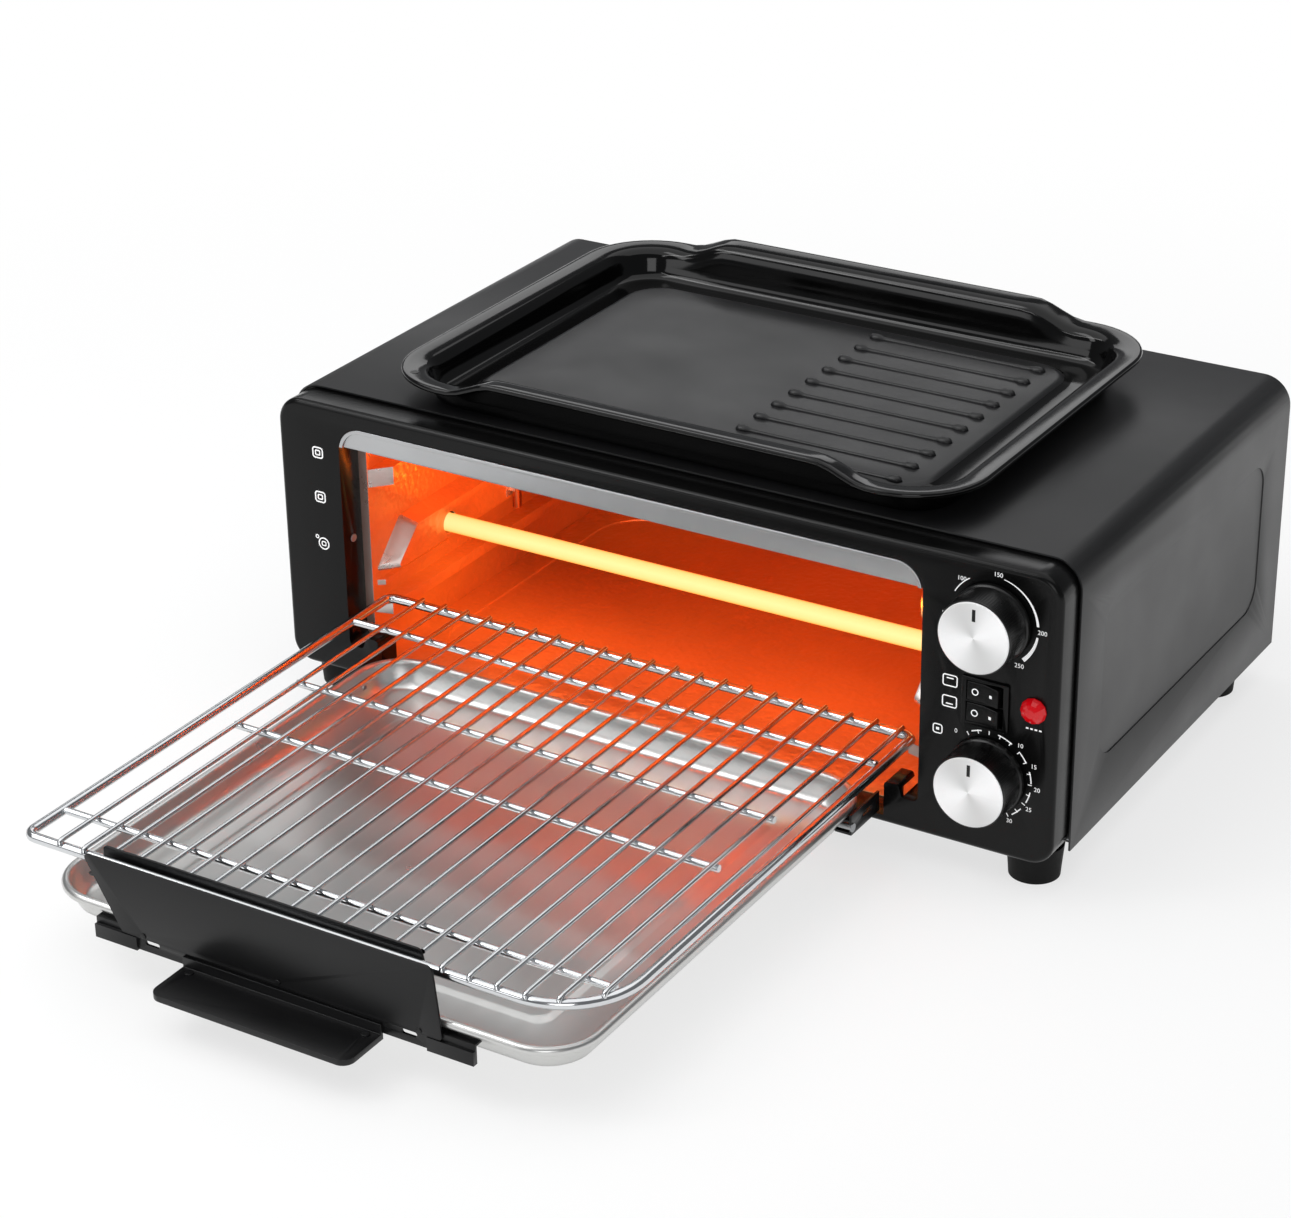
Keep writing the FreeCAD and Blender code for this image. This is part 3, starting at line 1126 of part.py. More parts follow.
def tray():
    t = TRAY_SHEET
    rim = TRAY_BEAD
    low = rim + TRAY_SLOPE
    outer = loft(tray_outline(low, low), TRAY_UNDER, tray_outline(rim, rim), TRAY_RIM_Z)
    inner = loft(tray_outline(low + t, low + t), TRAY_UNDER + t,
                 tray_outline(rim + t, rim + t), TRAY_RIM_Z + 0.01)
    pan = outer.cut(inner)
    inset = rim + TRAY_PLATEAU_INSET
    sharper = TRAY_PLATEAU_SHARPER
    plateau = prism(tray_outline(inset, sharper), "xy", TRAY_UNDER + 0.2, TRAY_UNDER + t + TRAY_PLATEAU)
    pan = fuse([pan, plateau])
    pan = pan.cut(prism(tray_outline(inset + t, sharper + t), "xy", TRAY_UNDER - 1,
                        TRAY_UNDER + TRAY_PLATEAU))
    path = outline(tray_outline(rim, rim), "xy", TRAY_RIM_Z)
    start = path.Edges[1].Vertexes[0].Point
    tangent = path.Edges[1].Vertexes[1].Point - start
    bead = sweep(path, start, tangent, rim)
    pan = fuse([pan, bead])
    cuts = [cylinder("z", TRAY_HOLE_X, TRAY_HOLE_Y, TRAY_HOLE_RADIUS, TRAY_UNDER - 1, TRAY_UNDER + 4)]
    for x, y, z, side in clip_rivet_places():
        span = sorted((x, x - side * 14))
        cuts.append(cylinder("x", y, z, RIVET_RADIUS + SCREW_CLEARANCE, span[0], span[1]))
    return pan.cut(fuse(cuts))


def clip_rivet_places():
    half = TRAY_WIDTH / 2 + TRAY_CLIP_REACH
    y = TRAY_FRONT + TRAY_LENGTH - TRAY_CORNER - 2.0
    return [(TRAY_MID + side * half, y, TRAY_CLIP_RIVET_Z, side) for side in (-1, 1)]


def tray_wall_inset(z):
    """How far the tray's outer wall lies inside the rim's outer edge at height z."""
    share = (z - TRAY_UNDER) / (TRAY_RIM_Z - TRAY_UNDER)
    return TRAY_BEAD + TRAY_SLOPE * (1 - share)


def tray_wall_at(z):
    """How far the tray's outer side wall stands from the middle at height z."""
    return TRAY_WIDTH / 2 - tray_wall_inset(z)


def tray_clips():
    shapes = []
    outer = TRAY_WIDTH / 2 + TRAY_CLIP_REACH
    y1 = TRAY_FRONT + TRAY_LENGTH - 2.0
    y0 = y1 - TRAY_CLIP_LENGTH
    t = TRAY_CLIP_SHEET
    tab = y0 + TRAY_CLIP_TAB
    web = box(outer - t, outer, y0, y1, TRAY_CLIP_LOW, TRAY_CLIP_TOP + 3.0)
    top = box(tray_wall_at(TRAY_CLIP_TOP) + SEAT_GAP, outer, y0, tab, TRAY_CLIP_TOP - t, TRAY_CLIP_TOP)
    low = box(tray_wall_at(TRAY_CLIP_LOW + t) + SEAT_GAP, outer, y0, tab, TRAY_CLIP_LOW, TRAY_CLIP_LOW + t)
    long, wide = TRAY_CLIP_SLOT
    start = TRAY_CLIP_RIVET_Z + 0.6
    slot = prism(rectangle(y1 - 7.0 - long, y1 - 7.0, start, start + wide, wide / 2 - 0.1), "yz",
                 outer - 4, outer + 1)
    clip = fuse([web, top, low]).cut(slot)
    _, ry, rz, _ = clip_rivet_places()[1]
    clip = clip.cut(cylinder("x", ry, rz, RIVET_RADIUS + SCREW_CLEARANCE, outer - 4, outer + 1))
    clip.translate(V(TRAY_MID, 0, 0))
    return both_sides([clip], TRAY_MID)


def clip_rivets():
    shapes = []
    for x, y, z, side in clip_rivet_places():
        inner = TRAY_MID + side * (tray_wall_at(z) - TRAY_SHEET - 1.2)
        head = sorted((x, x + side * RIVET_HEAD_HEIGHT))
        rivet = fuse([cylinder("x", y, z, RIVET_RADIUS, min(x, inner), max(x, inner)),
                      cylinder("x", y, z, RIVET_HEAD, head[0], head[1])])
        shapes.append(rivet)
    return shapes


def handle_plate():
    top = PLATE_TOP_SPAN
    low = PLATE_LOW_SPAN
    corners = [(low[0], PLATE_LOW, 2.0), (low[1], PLATE_LOW, 2.0), (top[1], PLATE_TOP, 3.0),
               (top[0], PLATE_TOP, 2.0)]
    plate = prism(corners, "xz", PLATE_FRONT, PLATE_BACK)
    for x in strip_rivet_places():
        plate = plate.cut(cylinder("y", x, (PLATE_LOW + STRIP_TOP) / 2, STRIP_RIVET + SCREW_CLEARANCE,
                                   PLATE_FRONT - 1, PLATE_BACK + 1))
    return plate


def strip_rivet_places():
    low, high = PLATE_LOW_SPAN
    return (low + 12.0, (low + high) / 2, high - 12.0)


def rack_channel():
    t = HANDLE_SHEET
    x0, x1 = CHANNEL_SPAN
    floor = RACK_RAIL_TOP
    front = box(x0 + CHANNEL_FLANGE, x1, PLATE_BACK, PLATE_BACK + t, floor - CHANNEL_FLANGE, floor)
    web = box(x0, x1, PLATE_BACK, CHANNEL_BACK, floor - t, floor)
    back = prism([(x0, floor - t, 0), (x1, floor - t, 0), (x1 - 2.0, CHANNEL_TOP, 3.0),
                  (x0, CHANNEL_TOP, 2.0)], "xz", CHANNEL_BACK - t, CHANNEL_BACK)
    return fuse([front, web, back])


def handle_strip():
    t = HANDLE_SHEET
    x0, x1 = STRIP_SPAN
    parts = [box(x0, x1, STRIP_FRONT, STRIP_FRONT + t, STRIP_LOW, STRIP_TOP)]
    reach = TRAY_FRONT + tray_wall_inset(STRIP_TOP) - SEAT_GAP
    for start in (x0, x1 - STRIP_CLIP):
        end = start + STRIP_CLIP
        parts.append(box(start, end, STRIP_FRONT - STRIP_CLIP_PROUD, STRIP_FRONT, STRIP_LOW,
                         PLATE_LOW - 0.2))
        parts.append(box(start, end, STRIP_FRONT, reach, STRIP_TOP - t, STRIP_TOP))
    strip = fuse(parts)
    cuts = []
    for x in STRIP_SLOT_X:
        slot = rectangle(x - STRIP_SLOT_HALF, x + STRIP_SLOT_HALF, STRIP_SLOT_Z[0], STRIP_SLOT_Z[1], 1.1)
        cuts.append(prism(slot, "xz", STRIP_FRONT - 1, STRIP_FRONT + t + 1))
    cuts += [cylinder("y", x, (PLATE_LOW + STRIP_TOP) / 2, STRIP_RIVET + SCREW_CLEARANCE,
                      STRIP_FRONT - 1, STRIP_FRONT + 3) for x in strip_rivet_places()]
    return strip.cut(fuse(cuts))


def strip_rivets():
    z = (PLATE_LOW + STRIP_TOP) / 2
    return [screw(x, PLATE_FRONT, z, "y", -1, STRIP_RIVET, STRIP_RIVET_HEAD, 0.4, 2 * HANDLE_SHEET)
            for x in strip_rivet_places()]


def handle_grip():
    x0, x1 = GRIP_SPAN
    back = STRIP_FRONT
    t = GRIP_SHEET
    outside = rectangle(x0, x1, GRIP_FRONT, back, GRIP_RADIUS, 0)
    plate = prism(outside, "xy", GRIP_TOP - t, GRIP_TOP)
    flange = box(x0, x1, back - t, back, GRIP_TOP - t, STRIP_LOW + GRIP_FLANGE)
    lip = prism(outside, "xy", GRIP_TOP - GRIP_LIP, GRIP_TOP)
    inner = prism([(x0 + t, GRIP_FRONT + t, GRIP_RADIUS - t), (x1 - t, GRIP_FRONT + t, GRIP_RADIUS - t),
                   (x1 - t, back + 1, 0), (x0 + t, back + 1, 0)], "xy", GRIP_TOP - GRIP_LIP - 1,
                  GRIP_TOP - 0.5)
    grip = fuse([plate, flange, lip.cut(inner)])
    for x in grip_rivet_places():
        grip = grip.cut(cylinder("z", x, GRIP_RIVET_Y, RIVET_RADIUS + SCREW_CLEARANCE,
                                 GRIP_TOP - 5, GRIP_TOP + 1))
    return grip


def grip_rivet_places():
    return (GRIP_SPAN[0] + GRIP_RIVET_INSET, GRIP_SPAN[1] - GRIP_RIVET_INSET)


def grip_rivets():
    return [screw(x, GRIP_RIVET_Y, GRIP_TOP, "z", 1, RIVET_RADIUS, RIVET_HEAD, RIVET_HEAD_HEIGHT,
                  GRIP_LIP + 1.5)
            for x in grip_rivet_places()]


def rack_half():
    return RACK_WIDTH / 2 - RACK_WIRE


def rack_frame():
    half = rack_half()
    front = RACK_FRONT + RACK_WIRE
    back = RACK_BACK - RACK_WIRE
    corners = [(TRAY_MID - half, front, RACK_LEFT_RADIUS), (TRAY_MID + half, front, RACK_RIGHT_RADIUS),
               (TRAY_MID + half, back, RACK_BACK_RADIUS), (TRAY_MID - half, back, RACK_BACK_RADIUS)]
    path = outline(corners, "xy", RACK_Z)
    edge = path.Edges[1]
    start = edge.Vertexes[0].Point
    return sweep(path, start, edge.Vertexes[1].Point - start, RACK_WIRE)


def rack_corner(x):
    """The rack's front corner radius on the side where x lies."""
    return RACK_LEFT_RADIUS if x < TRAY_MID else RACK_RIGHT_RADIUS


def rack_wires():
    shapes = []
    half = rack_half()
    front = RACK_FRONT + RACK_WIRE
    back = RACK_BACK - RACK_WIRE
    for index in range(RACK_WIRES):
        x = RACK_WIRE_FIRST + index * RACK_WIRE_PITCH
        start = front
        if CHANNEL_SPAN[0] - 2 * RACK_THIN < x < CHANNEL_SPAN[1] + 2 * RACK_THIN:
            start = CHANNEL_BACK + CHANNEL_GAP
        else:
            radius = rack_corner(x)
            inset = abs(x - TRAY_MID) - (half - radius)
            if inset > 0:
                start += radius - math.sqrt(radius ** 2 - inset ** 2)
        shapes.append(cylinder("y", x, RACK_TOP_WIRE_Z, RACK_THIN, start, back))
    return shapes


def rack_cross_wires():
    shapes = []
    z = RACK_Z + RACK_WIRE - RACK_CROSS_RADIUS
    half = RACK_WIDTH / 2 - 2 * RACK_WIRE
    for y in RACK_CROSS_FULL:
        left = TRAY_MID - half + rack_side_inset(y, RACK_LEFT_RADIUS)
        right = TRAY_MID + half - rack_side_inset(y, RACK_RIGHT_RADIUS)
        shapes.append(cylinder("x", y, z, RACK_CROSS_RADIUS, left, right))
    for y in RACK_CROSS_SHORT:
        shapes.append(cylinder("x", y, z, RACK_CROSS_RADIUS, 2 * TRAY_MID - RACK_CROSS_SHORT_END,
                               RACK_CROSS_SHORT_END))
    return shapes


def rack_side_inset(y, radius):
    centre = RACK_FRONT + RACK_WIRE + radius
    if y > centre:
        return 0.0
    return radius - math.sqrt(radius ** 2 - (centre - y) ** 2) + 1.0


def pan_outline(inset, radius_less):
    return rectangle(PAN_LEFT + inset, PAN_RIGHT - inset, PAN_FRONT + inset, PAN_BACK - inset,
                     PAN_CORNER - radius_less)


def rise_profile(lift):
    """The rim's height along x, seen from the front: low ends and a raised middle with soft bends."""
    low = PAN_UNDER + PAN_RIM_HEIGHT + lift
    high = low + PAN_SIDE_RISE
    run = PAN_RISE_RUN
    bend = PAN_RISE_BEND
    return [(PAN_RISE_START, low, bend), (PAN_RISE_START + run, high, bend),
            (PAN_RISE_END - run, high, bend), (PAN_RISE_END, low, bend)]


def under_rise(lift):
    """Everything below the rim's line."""
    left = PAN_LEFT - 20
    right = PAN_RIGHT + 20
    low = PAN_UNDER + PAN_RIM_HEIGHT + lift
    corners = [(left, PAN_UNDER - 20, 0), (right, PAN_UNDER - 20, 0), (right, low, 0)]
    corners += list(reversed(rise_profile(lift))) + [(left, low, 0)]
    return prism(corners, "xz", PAN_FRONT - 20, PAN_BACK + 20)


def griddle_pan():
    t = PAN_SHEET
    high = PAN_UNDER + PAN_RIM_HEIGHT + PAN_SIDE_RISE
    wall = PAN_RIM_WIDTH
    foot = wall + PAN_SIDE_SLOPE
    outer = loft(pan_outline(foot, foot), PAN_UNDER, pan_outline(wall, wall), high + 1)
    inner = loft(pan_outline(foot + t, foot + t), PAN_UNDER + t, pan_outline(wall + t, wall + t), high + 1)
    bowl = outer.cut(inner).common(under_rise(0))
    rim_plate = prism(pan_outline(0, 0), "xy", PAN_UNDER + 4, high + 2).cut(
        prism(pan_outline(wall + 0.4, wall), "xy", PAN_UNDER, high + 3))
    rim = rim_plate.common(under_rise(0)).cut(under_rise(-t))
    edge = prism(pan_outline(0, 0), "xy", PAN_UNDER + 4, high + 2).cut(
        prism(pan_outline(t, t), "xy", PAN_UNDER, high + 3)).common(under_rise(0)).cut(under_rise(-PAN_EDGE))
    inset = foot + PAN_GUTTER
    low = inset - PAN_PLATEAU_SLOPE
    sharper = PAN_PLATEAU_SHARPER
    less = sharper - PAN_PLATEAU_SLOPE
    plateau = loft(pan_outline(low, less), PAN_UNDER + 0.3,
                   pan_outline(inset, sharper), PAN_UNDER + PAN_PLATEAU + t)
    hollow = loft(pan_outline(low + t, less + t), PAN_UNDER - 0.01,
                  pan_outline(inset + t, sharper + t), PAN_UNDER + PAN_PLATEAU)
    pan = fuse([bowl, rim, edge, plateau]).cut(hollow)
    pan = fuse([pan] + griddle_ribs())
    from_left, from_front, long, wide = PAN_HOLE
    hole = prism(rectangle(PAN_LEFT + from_left, PAN_LEFT + from_left + long, PAN_FRONT + from_front,
                           PAN_FRONT + from_front + wide, wide / 2 - 0.1), "xy", PAN_UNDER + 8, high + 2)
    return pan.cut(hole)


def griddle_ribs():
    base = PAN_UNDER + PAN_PLATEAU + PAN_SHEET
    shapes = []
    for index in range(RIB_COUNT):
        y = RIB_BACK_Y - index * RIB_PITCH
        profile = [(y - RIB_HALF_WIDTH, base - 0.5, 0), (y + RIB_HALF_WIDTH, base - 0.5, 0),
                   (y + RIB_HALF_WIDTH, base, 0), (y, base + RIB_HEIGHT, 1.0), (y - RIB_HALF_WIDTH, base, 0)]
        rib = prism(profile, "yz", RIB_LEFT, RIB_RIGHT)
        upper = [(RIB_LEFT, y + RIB_TIP_HALF, 0), (RIB_LEFT + RIB_TIP, y + RIB_HALF_WIDTH + 1, 0),
                 (RIB_RIGHT - RIB_TIP, y + RIB_HALF_WIDTH + 1, 0), (RIB_RIGHT, y + RIB_TIP_HALF, 0)]
        tip = [(u, 2 * y - v, radius) for u, v, radius in upper] + list(reversed(upper))
        shapes.append(rib.common(prism(tip, "xy", base - 2, base + RIB_HEIGHT + 2)))
    return shapes


NODES = {
    "front_bezel": front_bezel,
    "opening_trim": opening_trim,
    "jamb_pin": jamb_pin,
    "outer_shell": outer_shell,
    "back_panel": back_panel,
    "cord_gland": cord_gland,
    "bottom_plate": bottom_plate,
    "feet": feet,
    "feet_screws": feet_screws,
    "back_screws": back_screws,
    "bezel_screws": bezel_screws,
    "cavity_left_wall": cavity_left_wall,
    "cavity_right_wall": cavity_right_wall,
    "cavity_floor": cavity_floor,
    "cavity_roof": cavity_roof,
    "cavity_back_wall": cavity_back_wall,
    "heat_shield": heat_shield,
    "front_heating_tube": lambda: heating_tube(FRONT_TUBE_Y),
    "rear_heating_tube": lambda: heating_tube(REAR_TUBE_Y),
    "heating_coils": heating_coils,
    "tube_ceramic_caps": tube_ceramic_caps,
    "tube_brackets": tube_brackets,
    "lower_heater": lower_heater,
    "lower_heater_clips": lower_heater_clips,
    "sensor_clip": sensor_clip,
    "sensor_bulb": sensor_bulb,
    "thermostat_body": thermostat_body,
    "thermostat_shaft": lambda: control_shaft(TEMPERATURE_Z, THERMOSTAT_DEPTH),
    "temperature_knob": temperature_knob,
    "temperature_knob_cap": lambda: control_knob_cap(TEMPERATURE_Z),
    "timer_body": timer_body,
    "timer_bell": timer_bell,
    "timer_shaft": lambda: control_shaft(TIMER_Z, TIMER_DEPTH),
    "timer_knob": timer_knob,
    "timer_knob_cap": lambda: control_knob_cap(TIMER_Z),
    "control_screws": control_screws,
    "switch_housing": switch_housing,
    "upper_heat_rocker": lambda: rocker(rocker_centres()[0]),
    "lower_heat_rocker": lambda: rocker(rocker_centres()[1]),
    "switch_terminals": switch_terminals,
    "lamp_lens": lamp_lens,
    "lamp_holder": lamp_holder,
    "terminal_block": terminal_block,
    "tray": tray,
    "tray_clips": tray_clips,
    "clip_rivets": clip_rivets,
    "handle_plate": handle_plate,
    "rack_channel": rack_channel,
    "handle_strip": handle_strip,
    "strip_rivets": strip_rivets,
    "handle_grip": handle_grip,
    "grip_rivets": grip_rivets,
    "rack_frame": rack_frame,
    "rack_wires": rack_wires,
    "rack_cross_wires": rack_cross_wires,
    "griddle_pan": griddle_pan,
}


def main():
    os.makedirs("parts", exist_ok=True)
    for name, make in NODES.items():
        made = make()
        shape = Part.makeCompound(made) if isinstance(made, list) else made
        shape.translate(V(0, FRONT_Y, 0))
        solids = shape.Solids
        volume = round(sum(solid.Volume for solid in solids) / 1000, 2)
        print(name, len(solids), "solids", volume, "cm3", shape.isValid())
        shape.exportStep("parts/" + name + ".step")


main()
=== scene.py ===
import math
import bpy
import bmesh
from mathutils import Matrix, Vector


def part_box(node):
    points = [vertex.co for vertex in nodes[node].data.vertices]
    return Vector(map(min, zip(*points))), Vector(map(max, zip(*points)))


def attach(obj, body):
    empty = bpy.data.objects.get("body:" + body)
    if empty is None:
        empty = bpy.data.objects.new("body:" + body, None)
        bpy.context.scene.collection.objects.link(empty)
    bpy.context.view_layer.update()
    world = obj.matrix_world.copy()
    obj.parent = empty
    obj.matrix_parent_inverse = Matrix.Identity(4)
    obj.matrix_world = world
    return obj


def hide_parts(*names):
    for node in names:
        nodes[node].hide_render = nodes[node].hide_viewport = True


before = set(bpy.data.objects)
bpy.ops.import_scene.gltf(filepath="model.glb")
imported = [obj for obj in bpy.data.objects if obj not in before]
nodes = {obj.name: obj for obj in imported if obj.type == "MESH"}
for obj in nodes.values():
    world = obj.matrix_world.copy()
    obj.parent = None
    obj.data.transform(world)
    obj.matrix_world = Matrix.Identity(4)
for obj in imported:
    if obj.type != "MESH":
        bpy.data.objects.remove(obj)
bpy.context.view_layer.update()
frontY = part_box("front_bezel")[0].y     # the bezel's front face
mm = 0.001


def at(x, y, z):
    # millimetres, measured from the bezel's front face, as a point of the frame
    return Vector((x * mm, frontY + y * mm, z * mm))


def report(stage):
    print("stage:", stage)


def camel(node):
    # the made piece's name, from the name of the solid it dresses
    return "".join(word.capitalize() if i else word for i, word in enumerate(node.split("_")))


# Materials
def srgb(code):
    def lin(c):
        return c / 12.92 if c <= 0.04045 else ((c + 0.055) / 1.055) ** 2.4
    return tuple(lin(int(code[i:i + 2], 16) / 255) for i in (1, 3, 5)) + (1.0,)


def addNode(tree, kind, inputs=None, **settings):
    node = tree.nodes.new(kind)
    for key, value in settings.items():
        setattr(node, key, value)
    for key, value in (inputs or {}).items():
        if isinstance(value, bpy.types.NodeSocket):
            tree.links.new(value, node.inputs[key])
        else:
            node.inputs[key].default_value = value
    return node


def wired(tree, kind, inputs=None, **settings):
    # a node of which only the first output is used
    return addNode(tree, kind, inputs, **settings).outputs[0]


def newMaterial(name, **shaderInputs):
    material = bpy.data.materials.new(name)
    material.use_nodes = True
    tree = material.node_tree
    tree.nodes.clear()
    inputs = {key.replace("_", " "): value for key, value in shaderInputs.items()}
    shader = addNode(tree, "ShaderNodeBsdfPrincipled", inputs)
    addNode(tree, "ShaderNodeOutputMaterial", {"Surface": shader.outputs[0]})
    # textures are laid in metres of the object
    place = addNode(tree, "ShaderNodeTexCoord").outputs["Object"]
    return material, tree, shader, place


def patches(tree, place, size, detail):
    # soft irregular patches, their spacing in millimetres
    return wired(tree, "ShaderNodeTexNoise", {"Vector": place, "Scale": 1000 / size, "Detail": detail})


def bumped(tree, shader, height, strength, distance):
    bump = wired(tree, "ShaderNodeBump", {"Height": height, "Strength": strength, "Distance": distance})
    tree.links.new(bump, shader.inputs["Normal"])


def grain(tree, shader, place, size, strength, stretch=(1, 1, 1), detail=3.0):
    spread = wired(tree, "ShaderNodeMapping", {"Vector": place, "Scale": stretch})
    bumped(tree, shader, patches(tree, spread, size, detail), strength, 0.0002)


def uneven(tree, shader, place, size, lowest, highest):
    # roughness that wanders between two values over patches of the given size
    span = wired(tree, "ShaderNodeMapRange", {"Value": patches(tree, place, size, 4.0), "From Min": 0.3,
                                              "From Max": 0.7, "To Min": lowest, "To Max": highest})
    tree.links.new(span, shader.inputs["Roughness"])


def tinted(tree, shader, place, size, first, second):
    # base colour that wanders between two close tones
    wander = patches(tree, place, size, 5.0)
    mix = addNode(tree, "ShaderNodeMix", {0: wander, 6: srgb(first), 7: srgb(second)}, data_type="RGBA")
    tree.links.new(mix.outputs[2], shader.inputs["Base Color"])


finish = {}


def simpleFinish(slotName, name, colour, tooth, rough=None, stretch=(1, 1, 1), detail=3.0, **inputs):
    # tooth is the grain's spacing and strength; rough is the patch size and the two roughness values
    m, t, s, p = newMaterial(name, Base_Color=srgb(colour), **inputs)
    grain(t, s, p, *tooth, stretch=stretch, detail=detail)
    if rough:
        uneven(t, s, p, *rough)
    finish[slotName] = m
    return t, s, p


def ramped(tree, factor, *stops):
    # a colour ramp through two stops, each a position and a colour
    ramp = addNode(tree, "ShaderNodeValToRGB", {"Fac": factor})
    for element, (position, colour) in zip(ramp.color_ramp.elements, stops):
        element.position = position
        element.color = srgb(colour)
    return ramp.outputs[0]


def makePaints():
    # injection moulded ABS, gloss: nearly black, a slight orange peel in the highlights
    simpleFinish("gloss_black", "mouldedAbsGloss", "#090909", (1.6, 0.05), (24, 0.20, 0.27),
                 Specular_IOR_Level=0.2)
    # powder coated steel: fine pebble, soft sheen
    simpleFinish("black_paint", "powderCoatedSteel", "#161617", (0.5, 0.18), (60, 0.36, 0.44), detail=2.0,
                 Specular_IOR_Level=0.5)
    # the same paint sprayed thinner on the drawer's sheet parts: darker and smoother
    simpleFinish("handlePaint", "sprayedBlackSatin", "#0c0c0d", (0.7, 0.12), (50, 0.30, 0.38), detail=2.0,
                 Specular_IOR_Level=0.34)
    # vitreous enamel on pressed steel: deep black glass, soft waves in the reflections
    simpleFinish("black_enamel", "vitreousEnamel", "#030303", (9.0, 0.07), (30, 0.07, 0.13), detail=1.0,
                 Specular_IOR_Level=0.32)
    # sprayed non-stick coat on the cooking surface: satin, faint speckle
    t, s, p = simpleFinish("nonStick", "sprayedNonStick", "#161617", (0.35, 0.12), (45, 0.30, 0.38),
                           detail=2.0, Specular_IOR_Level=0.36)
    tinted(t, s, p, 1.2, "#131314", "#19191a")
    # white pad-printed ink, with a faint white glow painted in as emission to keep it bright
    simpleFinish("ink", "padPrintedInkPaintedGlow", "#f2f2f2", (0.3, 0.1), (4, 0.5, 0.6), Specular_IOR_Level=0.3,
                 Emission_Color=srgb("#ffffff"), Emission_Strength=0.25)


def makeMetals():
    # deep drawn stainless steel: long faint brush lines, pale
    simpleFinish("stainless", "drawnStainless", "#cfcfcd", (0.5, 0.10), (120, 0.27, 0.33),
                 stretch=(0.06, 1, 1), Metallic=0.92)
    # brushed stainless strip: brush lines along its length
    simpleFinish("brushedStrip", "brushedStainless", "#b9babb", (0.4, 0.25), (25, 0.30, 0.38),
                 stretch=(0.02, 1, 1), Metallic=1.0)
    # bright nickel chrome plate on steel wire
    simpleFinish("chrome_wire", "chromePlatedWire", "#d5d7d9", (1.4, 0.06), (18, 0.10, 0.20), Metallic=1.0)
    # aluminised steel where it faces the room: plain and bright, with a faint orange glow of the tube painted
    # in as emission
    simpleFinish("sheetWithFaintPaintedGlow", "aluminisedFaintPaintedGlow", "#d8d0cb", (2.6, 0.3), (14, 0.24, 0.4), Metallic=0.85,
                 Emission_Color=srgb("#ff9a70"), Emission_Strength=0.04)
    # zinc plated steel: dull blue grey with a fine spangle
    simpleFinish("zinc_steel", "zincPlatedSteel", "#a9abad", (0.8, 0.08), (6, 0.34, 0.5), Metallic=1.0)
    # heating alloy after use: brown oxide
    simpleFinish("coil_wire", "oxidisedHeatingAlloy", "#6c5a4a", (0.6, 0.15), (9, 0.45, 0.6), Metallic=0.8)
    # copper alloy contacts
    simpleFinish("copper", "tinnedCopper", "#b88a68", (0.7, 0.08), (5, 0.25, 0.4), Metallic=1.0)


def makeMouldedStuffs():
    # moulded polyamide with an eroded matt skin
    simpleFinish("black_plastic", "mouldedNylonMatt", "#080808", (0.35, 0.1), (12, 0.26, 0.34), detail=2.0,
                 Specular_IOR_Level=0.4)
    # fused quartz, unlit: clear with a milky skin
    simpleFinish("quartz", "quartzClear", "#f3ece0", (2.0, 0.05), Roughness=0.12, Transmission_Weight=0.85,
                 IOR=1.46)
    # steatite ceramic: unglazed, chalky
    simpleFinish("ceramic", "steatiteCeramic", "#e4ddcc", (0.4, 0.2), (8, 0.6, 0.75))
    # polycarbonate lamp lens, lit from inside
    simpleFinish("red_lens", "polycarbonateRed", "#b80612", (3.5, 0.1), detail=0.0, Roughness=0.06,
                 Emission_Color=srgb("#e00812"), Emission_Strength=0.24)
    # moulded rubber
    simpleFinish("rubber", "mouldedRubber", "#0a0a0a", (0.6, 0.2), (10, 0.6, 0.72), Specular_IOR_Level=0.2)


# the cavity's painted glow: grain sizes in mm, where the painted glow is strongest, and how it fades over
# which reach in metres
paintedCavityGlow = {"cells": 3.2, "noise": 5.5, "centre": (-152, 44, 95), "reach": (0.02, 0.13),
              "strength": (0.75, 0.11), "heldBack": -0.65, "tones": ((0.3, "#c8330a"), (0.72, "#ff6418"))}


def makeCavitySheet():
    # aluminised steel with a pressed stucco grain; the heater's orange light on it is painted in as an
    # emission glow
    g = paintedCavityGlow
    m, t, s, p = newMaterial("aluminisedStuccoPaintedGlow", Base_Color=srgb("#b8865c"), Metallic=0.7)
    cells = wired(t, "ShaderNodeTexVoronoi", {"Vector": p, "Scale": 1000 / g["cells"]}, feature="SMOOTH_F1")
    height = wired(t, "ShaderNodeMath", {0: cells, 1: patches(t, p, g["noise"], 2.0)}, operation="ADD")
    bumped(t, s, height, 0.55, 0.0008)
    uneven(t, s, p, 40, 0.34, 0.46)
    glow = wired(t, "ShaderNodeTexNoise", {"Vector": p, "Scale": 9.0, "Detail": 3.0})
    t.links.new(ramped(t, glow, *g["tones"]), s.inputs["Emission Color"])
    # painted light: the glow is strongest round the tube's left end, weakest low down at the back
    near = addNode(t, "ShaderNodeVectorMath", {0: p, 1: at(*g["centre"])}, operation="DISTANCE")
    fall = wired(t, "ShaderNodeMapRange", {
        "Value": near.outputs["Value"], "From Min": g["reach"][0], "From Max": g["reach"][1],
        "To Min": g["strength"][0], "To Max": g["strength"][1]})
    # reflections see less of the painted glow, so the wires and the tray stay silver
    path = addNode(t, "ShaderNodeLightPath")
    held = wired(t, "ShaderNodeMath", {0: path.outputs["Is Glossy Ray"], 1: g["heldBack"], 2: 1.0},
                 operation="MULTIPLY_ADD")
    strength = wired(t, "ShaderNodeMath", {0: fall, 1: held}, operation="MULTIPLY")
    t.links.new(strength, s.inputs["Emission Strength"])
    finish["aluminised_steel"] = m


